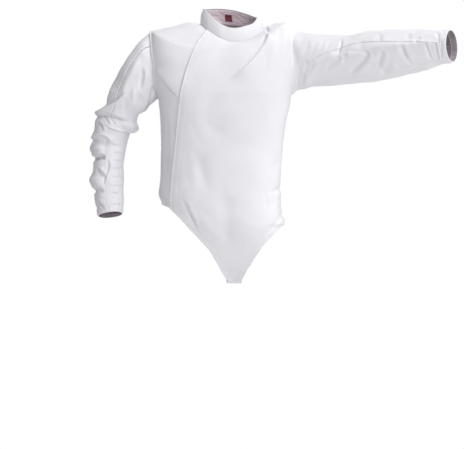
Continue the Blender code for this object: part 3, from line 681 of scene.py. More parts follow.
LEFT_SLEEVE_FOLDS = (
    # small pulls behind the armhole
    Fold(((193.2, -27.8), (186.3, -58.4), (183.5, -83.4)), 3.2, 0.9, 0.4, (0.3, 0.4)),
    Fold(((215.4, -25.1), (207.1, -55.6), (196, -83.4)), 4.6, 1.4, 0.4, (0.3, 0.4)),
    Fold(((239.1, -25.1), (226.6, -61.2), (211.3, -91.8)), 3.4, 0.9, 0.4, (0.3, 0.4)),
    Fold(((257.1, -27.8), (248.8, -55.6), (233.5, -77.9)), 4.4, 1.3, 0.4, (0.3, 0.4)),
    Fold(((276.6, -25.1), (266.9, -52.9), (255.8, -72.3)), 3.4, 0.8, 0.4, (0.3, 0.4)),
    Fold(((194.6, -83.4), (208.5, -100.1), (202.9, -127.9)), 4.2, 1.2, 0.4, (0.3, 0.4)),
    Fold(((180.7, -94.6), (189, -122.4), (194.6, -150.2)), 3.4, 1.3, 0.4, (0.3, 0.4)),
    Fold(((219.6, -83.4), (225.2, -97.3), (211.3, -119.6)), 3.8, 1.0, 0.4, (0.3, 0.4)),
    # roof of the front seam
    Fold(((297.5, -75.1), (272.4, -82), (241.9, -97.3), (218.2, -127.9), (201.5, -161.3)),
          9, -3.2, 0, (0.15, 0.1)),
    Fold(((311.4, -75.1), (344.7, -74.3), (364.2, -69.5), (378.1, -57), (411.4, -50.9),
          (461.5, -47.9), (508.7, -44.5), (572.7, -43.1)), 11, -4.2, 0, (0.05, 0.1)),
    # notch above it, and the raised stretch beside that
    Fold(((296.1, -73.7), (299.7, -61.2), (303.9, -48.7), (307.2, -32)),
          2.6, -3.8, 0, (0.1, 0.2), Crease.STEP),
    Fold(((304.4, -29.2), (301.6, -50.1), (294.7, -72.3)),
          3.6, 3.6, -0.2, (0.15, 0.2), Crease.CRISP),
    Fold(((341.9, -33.4), (339.2, -66.8)), 20, -2.6, 0, (0.3, 0.3)),
    # hollows that slant back under the arm from the seam
    Fold(((303, -80.7), (286.3, -93.2), (271, -104.3), (261.3, -122.4)), 7, 5, 0.5, (0.1, 0.4)),
    Fold(((376.7, -64), (364.2, -89), (341.9, -111.2), (319.7, -134.9)), 8, 6, 0.6, (0.06, 0.4)),
    Fold(((419.8, -61.2), (410, -89), (404.5, -116.8)), 7.5, 3.6, 0.5, (0.15, 0.45)),
    Fold(((469.8, -48.7), (476.8, -72.3), (490.7, -91.8), (509, -108)),
          6.5, 4.6, 0.35, (0.04, 0.6)),
    Fold(((526.8, -27.8), (514.3, -32), (508.7, -44.5)), 4.5, 2.8, 0.4, (0.2, 0.3)),
    Fold(((538, -42), (544.9, -68.1), (560, -97)), 4.6, 3.4, 0.5, (0.08, 0.5)),
    Fold(((564, -41), (568.5, -69.5), (577, -98)), 3.6, 2.8, 0.6, (0.08, 0.4)),
    Fold(((551, -44), (556, -66), (566, -88)), 3.2, 1.6, 0.5, (0.1, 0.4)),
    Fold(((582.4, -36.2), (581, -61.2), (583.8, -89)), 3.2, 2.2, 0.5, (0.1, 0.3)),
    Fold(((569.9, -11.2), (574.1, -30.6)), 4, 2.4, 0.5, (0.3, 0.3)),
    Fold(((486.5, -11.2), (492.1, -33.4)), 7, 2, 0.4, (0.3, 0.4)),
    Fold(((414.2, -13.9), (403.1, -41.7)), 8, 2, 0.4, (0.3, 0.4)),
    Fold(((444.8, -89), (428.1, -116.8), (405.9, -136.3)), 9, 3, 0.5, (0.3, 0.4)),
    Fold(((544.9, -89), (522.6, -105.7), (492.1, -116.8)), 7, 2.4, 0.4, (0.3, 0.4)),
)
RIGHT_SLEEVE_FOLDS = (
    # roof of the front seam, down to the elbow
    Fold(((-253, -77.9), (-271, -111.2), (-287.7, -144.6), (-298.8, -172.4), (-307.2, -200.2)),
          8.5, -5.9, 0, (0.25, 0.06)),
    # upper arm
    Fold(((-248, -105.7), (-250.8, -139), (-256.3, -178)), 5.5, 6.8, 0.3, (0.3, 0.3)),
    Fold(((-229.3, -155.7), (-233.5, -191.9), (-244.6, -225.2)), 4.5, -4.6, 0, (0.2, 0.2)),
    Fold(((-216.8, -155.7), (-223.8, -191.9), (-233.5, -225.2)), 5.5, 6.8, 0, (0.2, 0.1)),
    Fold(((-258.5, -178), (-251.6, -214.1)), 6, 3.5, 0.3),
    Fold(((-270.2, -150.2), (-275.2, -191.9), (-273.8, -236.3)), 5.5, -3.5, 0, (0.4, 0.3)),
    Fold(((-291.9, -189.1), (-297.5, -222.4), (-294.7, -247.5)), 6, 3, 0.3, (0.3, 0.3)),
    # hollow above the elbow, and the crest and crease over it
    Fold(((-292, -172), (-316, -190), (-342, -205), (-366, -215)), 8, 5.5, 0, (0.3, 0.1)),
    Fold(((-300, -120), (-318, -150), (-334, -184)), 11, 3.4, 0, (0.4, 0.3)),
    Fold(((-304.4, -194), (-322.5, -207), (-339.2, -218), (-358.6, -229), (-380, -241)),
          6, -7.6, 0, (0.06, 0.02), Crease.CRISP),
    Fold(((-304, -192), (-322, -205), (-340, -216.5), (-360, -228.5)),
          2.6, -3.4, 0, (0.2, 0.2), Crease.CRISP),
    Fold(((-388, -250), (-362, -244), (-341, -246), (-318, -253), (-298, -258), (-275.2, -261)),
          5, 10, 0.2, (0.02, 0.35), Crease.CRISP),
    # pouch that hangs over the forearm, and its crumples
    Fold(((-364.2, -258.6), (-344.7, -273.9), (-325.3, -283.6), (-305.8, -287.5),
          (-283.6, -287.5), (-258.5, -280.8)), 2.4, 8.8, 0, (0.3, 0.02), Crease.STEP),
    Fold(((-374, -262), (-362, -274), (-357.2, -290)),
          3.8, 5.9, 0.5, (0.1, 0.3), Crease.CRISP),
    Fold(((-357.2, -248.8), (-347.5, -258.6), (-339.2, -272.5)), 3.4, 3.5, 0.5, (0.2, 0.3)),
    Fold(((-339.2, -253), (-330.8, -261.4), (-321.1, -268.3)), 3.4, 2.7, 0.5, (0.3, 0.3)),
    Fold(((-319.7, -260), (-308.6, -269.7)), 3.4, 2.2, 0.4, (0.3, 0.3)),
    Fold(((-308.6, -266.9), (-289.1, -271.1), (-269.7, -268.3)), 9, -4.1, 0, (0.3, 0.2)),
    # outer side of the forearm
    Fold(((-386.4, -311.4), (-375.3, -302.5), (-362.8, -299.7), (-351.7, -303.1),
          (-341.9, -311.4), (-333.6, -325.3)), 3, 9, 0, (0.05, 0.2), Crease.STEP),
    Fold(((-389.2, -317), (-372.5, -315.6), (-355.8, -317), (-341.9, -325.3)),
          6, 5.4, 0, (0.12, 0.3)),
    Fold(((-396, -337), (-376, -336), (-352, -344)), 13, -6, 0, (0.1, 0.35)),
    Fold(((-390, -366), (-373, -361), (-352, -357)), 5.5, 14, 0.2, (0.15, 0.14)),
    Fold(((-345.3, -361.4), (-340.3, -383.7), (-345.8, -403.1), (-351.4, -419.8), (-357, -439.3)),
          2.2, 5.4, 0, (0.2, 0.3), Crease.STEP),
    Fold(((-346.4, -364.2), (-341.9, -383.7), (-347.5, -403.1), (-353.1, -419.8),
          (-358.1, -436.5)), 3.2, 4.6, 0, (0.25, 0.3), Crease.CRISP),
    Fold(((-377, -386), (-371, -399), (-357, -415)), 5, 6.5, 0.5, (0.3, 0.3), Crease.CRISP),
    Fold(((-397, -421), (-374, -428), (-354, -446)), 14, -7, 0, (0.08, 0.4)),
    Fold(((-366, -398), (-357, -410), (-356, -424)), 4, 3, 0.5, (0.3, 0.3)),
    Fold(((-388, -457), (-371, -452), (-352, -455)), 7, 5.5, 0.4, (0.2, 0.45)),
    Fold(((-380, -478), (-370, -489), (-352, -503)), 5, 4.4, 0.4, (0.3, 0.35), Crease.CRISP),
    Fold(((-378, -494), (-371, -505)), 5, 3, 0.4, (0.3, 0.3)),
    # inner side of the forearm
    Fold(((-341.9, -324.2), (-308.6, -329.2)), 3.4, 2.4, 0.6, (0.3, 0.3)),
    Fold(((-333.6, -347.5), (-297.5, -353.1)), 3.4, 1.8, 0.6, (0.3, 0.3)),
    Fold(((-336.4, -369.8), (-303, -371.2)), 3.4, 1.6, 0.6, (0.3, 0.3)),
    Fold(((-339.2, -394.8), (-300.2, -390.4)), 3.8, 2.4, 0.6, (0.3, 0.2)),
    Fold(((-336.4, -417.6), (-303, -414.3)), 3.4, 1.9, 0.6, (0.3, 0.3)),
    Fold(((-339.2, -442.1), (-300.2, -439.3)), 3.6, 1.9, 0.6, (0.3, 0.2)),
    Fold(((-336.4, -459.3), (-308.6, -461.5)), 2.8, 3, 0.6, (0.3, 0.3)),
    Fold(((-333.6, -489.3), (-305.8, -489.9)), 3.4, 1.9, 0.6, (0.3, 0.3)),
)


@dataclass(frozen=True)
class CrowdOfFolds:
    """Small folds round a sleeve, uneven in length, depth and spacing."""

    count: int
    seed: int
    turns: tuple[float, float]
    distances: tuple[float, float]
    length: tuple[float, float] = (25.0, 60.0)
    width: tuple[float, float] = (4.0, 7.0)
    depth: tuple[float, float] = (1.5, 4.0)
    slant: float = 14.0

    def folds(self) -> tuple[Fold, ...]:
        """Draw the folds, the same ones at each call.

        Returns:
            The folds, by their turns and distances.
        """
        rng = np.random.default_rng(self.seed)
        found = []
        for k in range(self.count):
            share = (k + rng.uniform(0.1, 0.9)) / self.count
            along = self.distances[0] + share * (self.distances[1] - self.distances[0])
            middle = rng.uniform(*self.turns)
            half = rng.uniform(*self.length) / 2
            lean = rng.normal(0, self.slant) / 2
            bow = rng.normal(0, 3.0)
            route = ((middle - half, along - lean), (middle, along + bow), (middle + half, along + lean))
            found.append(Fold(route, rng.uniform(*self.width), rng.uniform(*self.depth),
                              rng.choice((-0.7, 0.7)), side=Side.ROUND))
        return tuple(found)


SLEEVE_CROWDS = {
    1: (
        CrowdOfFolds(11, 3, (215, 325), (60, 400), (50, 95), (7, 11), (3.0, 6.5)),
        CrowdOfFolds(7, 5, (205, 265), (330, 425), (25, 50), (4, 6), (2.0, 4.0)),
    ),
    -1: (
        CrowdOfFolds(7, 11, (205, 325), (40, 250), (50, 95), (7, 11), (3.0, 6.5)),
        CrowdOfFolds(17, 13, (205, 335), (290, 560), (40, 90), (5, 8), (3.0, 7.0)),
    ),
}


@dataclass(frozen=True)
class FoldField:
    """All the folds that show from the front and the back."""

    folds: tuple[Fold, ...]

    def push(self, points: Array, normals: Array) -> Array:
        """How far points move along their normals.

        Args:
            points: Points in millimetres.
            normals: Their normals.

        Returns:
            The move of each in millimetres.
        """
        places = seen_from_front(points)
        moved = np.zeros(points.shape[:-1])
        for fold in self.folds:
            facing = ease(normals[..., 1] * fold.side.value * 2.5 + 0.9)
            moved += fold.push(places) * facing
        return moved


SEEN_FOLDS = FoldField(BODY_FOLDS + BACK_FOLDS + LEFT_SLEEVE_FOLDS + RIGHT_SLEEVE_FOLDS)


WAVES = 14


def unevenness(points: Array, seed: int = 4, height: float = 0.9, size: float = 95.0) -> Array:
    """Gentle rise and fall of cloth that hangs free, in millimetres.

    Args:
        points: Points in millimetres.
        seed: Seed of the waves.
        height: Typical rise.
        size: Typical distance between rises.

    Returns:
        The rise at each point.
    """
    rng = np.random.default_rng(seed)
    total = np.zeros(points.shape[:-1])
    for _ in range(WAVES):
        way = unit(rng.normal(size=3)) * 2 * math.pi / (size * rng.uniform(0.6, 1.7))
        total += np.sin(points @ way + rng.uniform(0, 2 * math.pi))
    return total * height / math.sqrt(WAVES)


# Edges, seams and stitches

# Cross-sections of a seam's groove, of the roll beside it and of a stitched line, in millimetres
DIP_WIDTH = 1.3
ROLL_PLACE = 2.4
ROLL_WIDTH = 1.8
STITCH_DIP = 0.45
STITCH_WIDTH = 1.1


@dataclass(frozen=True)
class EdgeFinish:
    """How the cloth is finished along an edge, in millimetres."""

    band: float = 0.0
    rise: float = 0.0
    roll: float = 0.0
    dip: float = 1.1
    stitches: tuple[float, ...] = ()
    pucker: float = 0.0

    def height(self, distance: Array, along: Array) -> Array:
        """How far the cloth stands out.

        Args:
            distance: Distance from the edge.
            along: Distance along the edge.

        Returns:
            The rise at each place in millimetres.
        """
        height = -self.dip * np.exp(-(distance / DIP_WIDTH) ** 2)
        if self.rise:
            height = height + self.rise * (1 - ease((distance - self.band + 1.5) / 2.5))
        if self.roll:
            height = height + self.roll * np.exp(-((distance - ROLL_PLACE) / ROLL_WIDTH) ** 2)
        for place in self.stitches:
            height = height - STITCH_DIP * np.exp(-((distance - place) / STITCH_WIDTH) ** 2)
        if self.pucker:
            wave = np.sin(along / 2.9 + 1.7 * np.sin(along / 17.0)) + 0.5 * np.sin(along / 5.3)
            height = height + self.pucker * wave * np.exp(-((distance - 4) / 7) ** 2) * ease(distance / 2)
        return height


PLAIN_SEAM = EdgeFinish(pucker=0.2)
FLAT_SEAM = EdgeFinish(dip=0.5, pucker=0.12)
FELLED_SEAM = EdgeFinish(band=8.0, rise=0.7, roll=0.6, stitches=(6.2,), pucker=0.25)
RAISED_SEAM = EdgeFinish(roll=4.0, dip=2.0, stitches=(6.0,), pucker=0.25)
DEEP_SEAM = EdgeFinish(dip=2.4, pucker=0.25)
TURNED_HEM = EdgeFinish(band=16.5, rise=0.5, roll=1.3, dip=0.7, stitches=(14.5,), pucker=0.25)
POINT_HEM = EdgeFinish(band=11.5, rise=0.9, roll=1.6, dip=0.7, stitches=(10.0,), pucker=0.3)
CLOSING_HEM = EdgeFinish(band=24.0, rise=0.6, roll=1.5, dip=0.9, stitches=(5.6, 21.5), pucker=0.25)


@dataclass
class ThreadRow:
    """A row of stitches along a line on the cloth."""

    points: Array
    normals: Array


@dataclass(frozen=True)
class Thread:
    """Size of the stitches, in millimetres."""

    pitch: float = 4.2
    length: float = 3.1
    radius: float = 0.5
    rounds: int = 6

    def template(self) -> tuple[Array, list[tuple[int, ...]]]:
        """One stitch along X, with its middle at the origin.

        Returns:
            Its points and its faces.
        """
        places = ((-0.5, 0.35), (-0.32, 0.95), (0.0, 1.0), (0.32, 0.95), (0.5, 0.35))
        points = []
        for along, thick in places:
            for k in range(self.rounds):
                turn = 2 * math.pi * k / self.rounds
                points.append((along * self.length, math.cos(turn) * thick * self.radius,
                               math.sin(turn) * thick * self.radius))
        faces: list[tuple[int, ...]] = []
        for ring in range(len(places) - 1):
            for k in range(self.rounds):
                a, b = ring * self.rounds + k, ring * self.rounds + (k + 1) % self.rounds
                faces.append((a, b, b + self.rounds, a + self.rounds))
        faces.append(tuple(reversed(range(self.rounds))))
        faces.append(tuple(range((len(places) - 1) * self.rounds, len(places) * self.rounds)))
        return np.array(points), faces

    def sew(self, name: str, rows: Sequence[ThreadRow]) -> bpy.types.Object | None:
        """One object for all the stitches of rows.

        Args:
            name: Name of the object.
            rows: Lines that the stitches follow.

        Returns:
            The object, or None where no row is long enough for a stitch.
        """
        template, faces = self.template()
        points, polygons = [], []
        for row in rows:
            run = run_along(row.points[None], 1)[0]
            count = int(run[-1] / self.pitch)
            for k in range(count):
                ends = np.array([k * self.pitch, k * self.pitch + self.length])
                at = np.stack([np.interp(ends, run, row.points[:, j]) for j in range(3)], axis=-1)
                middle = np.array([np.interp(ends.mean(), run, row.normals[:, j]) for j in range(3)])
                along = unit(at[1] - at[0])
                outward = unit(middle - along * (middle @ along))
                aside = np.cross(outward, along)
                base = len(points) * len(template)
                place = at.mean(axis=0) + outward * 0.12
                points.append(place + template @ np.stack([along, aside, outward]))
                polygons.extend(tuple(base + i for i in face) for face in faces)
        if not points:
            return None
        mesh = bpy.data.meshes.new(name)
        mesh.from_pydata((np.concatenate(points) * MM).tolist(), [], polygons)
        mesh.shade_smooth()
        piece = bpy.data.objects.new(name, mesh)
        bpy.context.scene.collection.objects.link(piece)
        return piece


# Finishes


def linear(code: str) -> tuple[float, float, float, float]:
    """Linear colour of an sRGB hex value.

    Args:
        code: The value, such as #E6E5EA.

    Returns:
        Red, green, blue and an alpha of 1.
    """
    parts = [int(code[k:k + 2], 16) / 255 for k in (1, 3, 5)]
    shades = [c / 12.92 if c <= 0.04045 else ((c + 0.055) / 1.055) ** 2.4 for c in parts]
    return (*shades, 1.0)


def add_node(tree: bpy.types.NodeTree, kind: str, settings: dict | None = None,
             links: dict | None = None) -> bpy.types.Node:
    """Node with its settings and links.

    Args:
        tree: Tree that it goes into.
        kind: Blender's name of the node.
        settings: Values of its sockets, by name or number, and of its own properties.
        links: Node and output that feed each of its sockets.

    Returns:
        The node.
    """
    node = tree.nodes.new(kind)
    for name, value in (settings or {}).items():
        if isinstance(name, int) or name in node.inputs:
            node.inputs[name].default_value = value
        else:
            setattr(node, name, value)
    for name, (source, output) in (links or {}).items():
        tree.links.new(source.outputs[output], node.inputs[name])
    return node


@dataclass(frozen=True)
class WovenCloth:
    """Woven cloth: two systems of threads, its colour a little uneven.

    pitch is the distance between ribs in millimetres. The real ribs are finer than a
    render shows, so they are drawn coarser. inside, where it is given, is a grey painted
    on the inner face of a shell as painted shade: the cloth there is as white as outside.
    """

    name: str
    colour: str
    shade: str
    pitch: float
    relief: float
    roughness: float
    sheen: float
    slub: float = 0.15
    inside: str | None = None

    def material(self) -> bpy.types.Material:
        """Make the material, or find the one that is made already.

        Returns:
            The material.
        """
        found = bpy.data.materials.get(self.name)
        if found:
            return found
        material = bpy.data.materials.new(self.name)
        material.use_nodes = True
        tree = material.node_tree
        tree.nodes.clear()
        grain = add_node(tree, "ShaderNodeAttribute", {"attribute_name": "grain"})
        ribs = add_node(tree, "ShaderNodeTexWave", {
            "wave_type": "BANDS", "bands_direction": "DIAGONAL", "wave_profile": "SIN",
            "Scale": math.pi / (5 * self.pitch), "Distortion": 0.6, "Detail": 1.0,
            "Detail Scale": 1.5}, {"Vector": (grain, "Vector")})
        threads = add_node(tree, "ShaderNodeTexWave", {
            "wave_type": "BANDS", "bands_direction": "X", "wave_profile": "SIN",
            "Scale": math.pi / (10 * self.pitch * 0.7), "Distortion": 0.8, "Detail": 1.0},
            {"Vector": (grain, "Vector")})
        weave = add_node(tree, "ShaderNodeMath", {"operation": "MULTIPLY_ADD", 1: 0.45},
                         {0: (threads, "Fac"), 2: (ribs, "Fac")})
        fuzz = add_node(tree, "ShaderNodeTexNoise", {"Scale": 0.55, "Detail": 3.0, "Roughness": 0.6},
                        {"Vector": (grain, "Vector")})
        surface = add_node(tree, "ShaderNodeMath", {"operation": "MULTIPLY_ADD", 1: 0.5},
                           {0: (fuzz, "Fac"), 2: (weave, "Value")})
        bump = add_node(tree, "ShaderNodeBump", {"Strength": 0.5, "Distance": self.relief * MM},
                        {"Height": (surface, "Value")})
        wash = add_node(tree, "ShaderNodeTexNoise", {"Scale": 0.012, "Detail": 4.0, "Roughness": 0.55},
                        {"Vector": (grain, "Vector")})
        mix = add_node(tree, "ShaderNodeMath", {"operation": "MULTIPLY_ADD", 1: self.slub},
                       {0: (weave, "Value"), 2: (wash, "Fac")})
        ramp = add_node(tree, "ShaderNodeMapRange",
                        {"From Min": 0.30, "From Max": 0.85, "To Min": 0.0, "To Max": 1.0},
                        {"Value": (mix, "Value")})
        tint = add_node(tree, "ShaderNodeMix", {"data_type": "RGBA"}, {"Factor": (ramp, "Result")})
        tint.inputs[6].default_value = linear(self.shade)
        tint.inputs[7].default_value = linear(self.colour)
        # Painted shade: the inner face of a shell, marked by its inside attribute, takes the inside grey.
        if self.inside:
            inner = add_node(tree, "ShaderNodeAttribute", {"attribute_name": "inside"})
            tint = add_node(tree, "ShaderNodeMix", {"data_type": "RGBA"},
                            {0: (inner, "Fac"), 6: (tint, 2)})
            tint.inputs[7].default_value = linear(self.inside)
        rough = add_node(tree, "ShaderNodeMapRange",
                         {"From Min": 0.0, "From Max": 1.0, "To Min": self.roughness - 0.06,
                          "To Max": min(1.0, self.roughness + 0.05)}, {"Value": (fuzz, "Fac")})
        shader = add_node(tree, "ShaderNodeBsdfPrincipled", {
            "Metallic": 0.0, "IOR": 1.45, "Specular IOR Level": 0.25,
            "Sheen Weight": self.sheen, "Sheen Roughness": 0.5},
            {"Base Color": (tint, 2), "Roughness": (rough, "Result"), "Normal": (bump, "Normal")})
        add_node(tree, "ShaderNodeOutputMaterial", {}, {"Surface": (shader, "BSDF")})
        return material


# Heavy cotton twill, bleached: matt, with faint slanting ribs and a soft bloom on its edges.
# Its inside grey is painted shade on the shells' inner faces; the cloth is white there too.
COTTON_TWILL = WovenCloth("bleached_cotton_twill", "#EDECF0", "#E7E6EB", 2.4, 0.16, 0.90, 0.08,
                          inside="#A9A0A6")
# The same cotton folded double for the strap: as white inside as outside, without the
# painted shade on its inner face.
COTTON_STRAP = WovenCloth("folded_cotton_strap", "#EDECF0", "#E7E6EB", 2.4, 0.16, 0.90, 0.08)
# Polyester tricot, napped: dusty pink grey, uneven where it has rubbed, a little softer.
TRICOT_LINING = WovenCloth("brushed_tricot_lining", "#FDF5FA", "#D4B8C6", 3.2, 0.35, 0.92, 0.15, 0.1)
# Satin-woven polyester tape: smooth and slightly brighter where it turns to the light.
SATIN_LABEL = WovenCloth("woven_satin_tape", "#84404F", "#6B2E3D", 1.6, 0.08, 0.55, 0.1, 0.3)
# Spun polyester sewing thread: bright white, twisted, so each stitch catches the light.
SEWING_THREAD = WovenCloth("spun_polyester_thread", "#F4F3F6", "#EBEAEE", 1.2, 0.06, 0.6, 0.05, 0.3)


# Pieces of cloth


@dataclass
class ClothShell:
    """Grid of cloth on its form, with the way out of it at each point."""

    points: Array
    normals: Array
    closed: bool = False

    def thickened(self, name: str, thickness: Array | float) -> bpy.types.Object:
        """Thin closed shell of the grid.

        Args:
            name: Name of the object.
            thickness: Thickness in millimetres, one for all or one for each point.

        Returns:
            The object.
        """
        outer = self.points
        depth = np.broadcast_to(thickness, outer.shape[:2])[..., None]
        inner = outer - self.normals * depth
        rows, columns = outer.shape[:2]
        half = rows * columns
        points = np.concatenate([outer.reshape(-1, 3), inner.reshape(-1, 3)]) * MM
        last = columns if self.closed else columns - 1
        r, c = np.meshgrid(np.arange(rows - 1), np.arange(last), indexing="ij")
        a, b = r * columns + c, r * columns + (c + 1) % columns
        quads = np.stack([a, b, b + columns, a + columns], axis=-1).reshape(-1, 4)
        faces = [quads, quads[:, ::-1] + half]
        c = np.arange(last)
        for row, turned in ((0, False), (rows - 1, True)):
            near, far = row * columns + c, row * columns + (c + 1) % columns
            if turned:
                near, far = far, near
            faces.append(np.stack([far, near, near + half, far + half], axis=-1))
        if not self.closed:
            r = np.arange(rows - 1)
            for column, turned in ((0, False), (columns - 1, True)):
                near, far = r * columns + column, (r + 1) * columns + column
                if turned:
                    near, far = far, near
                faces.append(np.stack([near, far, far + half, near + half], axis=-1))
        mesh = bpy.data.meshes.new(name)
        mesh.from_pydata(points.tolist(), [], np.concatenate(faces).tolist())
        mesh.update()
        if self.turned_in(outer):
            mesh.flip_normals()
        grain = np.stack([run_along(outer, 1), run_along(outer, 0), np.zeros((rows, columns))], axis=-1)
        both = np.concatenate([grain.reshape(-1, 3)] * 2).astype(np.float32)
        mesh.attributes.new("grain", "FLOAT_VECTOR", "POINT").data.foreach_set("vector", both.ravel())
        # Painted shade: the inner face, but not its rims, is marked 1 so that it is drawn in the cloth's
        # inside grey.
        inside = np.zeros((2, rows, columns), np.float32)
        inside[1, 1:-1, slice(None) if self.closed else slice(1, -1)] = 1.0
        mesh.attributes.new("inside", "FLOAT", "POINT").data.foreach_set("value", inside.ravel())
        mesh.shade_smooth()
        mesh.set_sharp_from_angle(angle=math.radians(62))
        piece = bpy.data.objects.new(name, mesh)
        bpy.context.scene.collection.objects.link(piece)
        return piece

    def turned_in(self, outer: Array) -> bool:
        """Whether the grid's own faces look inwards.

        Args:
            outer: The grid's points.

        Returns:
            True where they look inwards.
        """
        across = outer[1:, 1:] - outer[:-1, :-1]
        other = outer[1:, :-1] - outer[:-1, 1:]
        faces = np.cross(across, other)
        return float((faces * self.normals[:-1, :-1]).sum()) < 0


class Where(Enum):
    """Edge of a panel's grid."""

    FIRST_COLUMN = "first column"
    LAST_COLUMN = "last column"
    FIRST_ROW = "first row"
    LAST_ROW = "last row"


@dataclass(frozen=True)
class PanelEdge:
    """A stretch of a panel's edge and how it is finished."""

    where: Where
    finish: EdgeFinish
    start: int = 0
    end: int | None = None

    def line_of(self, points: Array) -> Array:
        """Line of the stretch.

        Args:
            points: The panel's grid.

        Returns:
            The points along the stretch.
        """
        stretch = slice(self.start, self.end)
        if self.where is Where.FIRST_COLUMN:
            return points[stretch, 0]
        if self.where is Where.LAST_COLUMN:
            return points[stretch, -1]
        return points[0 if self.where is Where.FIRST_ROW else -1, stretch]

    def thread_rows(self, points: Array, normals: Array, distance: Array) -> list[ThreadRow]:
        """Lines on the cloth that the edge's stitches follow.

        Args:
            points: The panel's grid.
            normals: Its normals.
            distance: Distance of each point from this edge.

        Returns:
            One row for each line of stitches.
        """
        stretch = slice(self.start, self.end)
        if self.where in (Where.FIRST_COLUMN, Where.LAST_COLUMN):
            grids = [a[stretch] for a in (points, normals, distance)]
        else:
            grids = [np.swapaxes(a, 0, 1)[stretch] for a in (points, normals, distance)]
        if self.where in (Where.LAST_COLUMN, Where.LAST_ROW):
            grids = [a[:, ::-1] for a in grids]
        found = []
        for place in self.finish.stitches:
            line, ways = [], []
            for at, way, gap in zip(*grids):
                past = np.nonzero(gap >= place)[0]
                if not len(past) or past[0] == 0 or past[0] > len(gap) // 2:
                    continue
                k = past[0]
                t = (place - gap[k - 1]) / (gap[k] - gap[k - 1])
                line.append(at[k - 1] * (1 - t) + at[k] * t)
                ways.append(way[k - 1] * (1 - t) + way[k] * t)
            if len(line) > 2:
                found.append(ThreadRow(np.array(line), np.array(ways)))
        return found


@dataclass
class ClothPiece:
    """A cut piece of cloth, with the facts listed for it."""

    name: str
    node: str
    slot: str
    flat: tuple[float, float]
    area: float | None
    rests_on: tuple[str, ...]
    cloth: WovenCloth = COTTON_TWILL
    thickness: float = 1.4
    held: str = "hung"

    def dress(self, shell: ClothShell, thickness: Array | float, rows: Sequence[ThreadRow]) -> None:
        """Args:
            shell: The cloth's grid.
            thickness: Thickness in millimetres.
            rows: Lines of stitches on it.
        """
        piece = shell.thickened(self.name, thickness)
        piece.data.materials.append(self.cloth.material())
        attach(piece, "root")
        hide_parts(self.node)
        sewn = Thread().sew(self.name + "_stitches", rows) if rows else None
        if sewn:
            sewn.data.materials.append(SEWING_THREAD.material())
            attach(sewn, "root")
        triangles = sum(len(face.vertices) - 2 for face in piece.data.polygons)
        LOG.info("%s: %d triangles, %d rows of stitches", self.name, triangles, len(rows))


def finish_edges(points: Array, normals: Array, edges: Sequence[PanelEdge]
                 ) -> tuple[Array, Array, list[ThreadRow]]:
    """Cloth with its seams and hems, and the lines that are sewn on it.

    Args:
        points: The panel's grid.
        normals: Its normals.
        edges: Its edges.

    Returns:
        The finished grid, the rise at each point and the rows of stitches.
    """
    height = np.zeros(points.shape[:-1])
    measured = []
    for edge in edges:
        distance, along = distance_to_line(points, edge.line_of(points))
        measured.append(distance)
        rise = edge.finish.height(distance, along)
        height = np.where(np.abs(rise) > np.abs(height), rise, height)
    finished = points + normals * height[..., None]
    rows: list[ThreadRow] = []
    for edge, distance in zip(edges, measured):
        rows += edge.thread_rows(finished, normals, distance)
    return finished, height, rows


# Distances of the rows beside an edge, where seams and hems need them close
EDGE_STEPS = (0.0, 0.8, 1.7, 2.8, 4.2, 6.0, 8.0, 10.0, 13.0, 16.0, 18.5, 21.0, 24.0)
# Width of a row, in times its last edge step, below which the steps shrink with it
NARROWEST = 2.6
# How far from a seam the two pieces' normals run together, in millimetres
ARMHOLE_BLEND = 16.0
NECK_BLEND = 14.0
# Share of a seam's or hem's rise that is thicker cloth
RISE_LAYERS = 0.8


def stations(width: Array, count: int) -> Array:
    """Places of a row's points, close together near both ends.

    Args:
        width: Width of each row in millimetres.
        count: Number of steps between the two close groups.

    Returns:
        The places in millimetres, one row for each width.
    """
    steps = np.array(EDGE_STEPS)
    scale = np.minimum(1.0, width / (NARROWEST * steps[-1]))[:, None]
    near = steps[None] * scale
    far = width[:, None] - near[:, ::-1]
    share = np.linspace(0, 1, count + 1)[None, 1:-1]
    between = near[:, -1:] * (1 - share) + far[:, :1] * share
    return np.concatenate([near, between, far], axis=1)


# Spans of the body's levels as low, high and number of rows, close together at the hems,
# the armhole's ends and the neck
POINT_SPANS = ((0, 1, 21), (1, 2, 16), (2, 2.7, 14), (2.7, 2.97, 9), (2.97, 3.0, 4))
SIDE_SPANS = ((4, 5, 14), (5, 6, 19), (6, 7, 19), (7, 8, 13), (8, 9, 11))
SHOULDER_SPANS = ((13, 16, 30), (16, 16.5, 7))
NECK_LEVELS = (16.5, 16.57, 16.64, 16.71, 16.78, 16.84, 16.89, 16.93, 16.96, 16.98, 17.0)
HEM_LEVEL_HEIGHT = 66.0
ARMHOLE_ROWS = 60
ARMHOLE_STEP = 3.0


def levels_of(spans: Sequence[Row]) -> Array:
    """Levels of spans, each without its top one."""
    return np.concatenate([np.linspace(low, high, int(rows) + 1)[:-1] for low, high, rows in spans])


def levels_of_body(low: float, high: float) -> Array:
    """Levels of the body's rows.

    Args:
        low: Lowest level.
        high: Highest level.

    Returns:
        The levels from low to high.
    """
    hem = TORSO.hem + np.array(EDGE_STEPS) / HEM_LEVEL_HEIGHT
    above_hem = np.linspace(hem[-1], SIDE_SPANS[0][0], 10)[1:-1]
    armhole = TORSO.armhole_level(180.0 - np.arange(0, ARMHOLE_ROWS) * ARMHOLE_STEP)
    every = np.concatenate([levels_of(POINT_SPANS), hem, above_hem, levels_of(SIDE_SPANS), armhole,
                            levels_of(SHOULDER_SPANS), np.array(NECK_LEVELS)])
    return every[(every >= low - TINY) & (every <= high + TINY)]


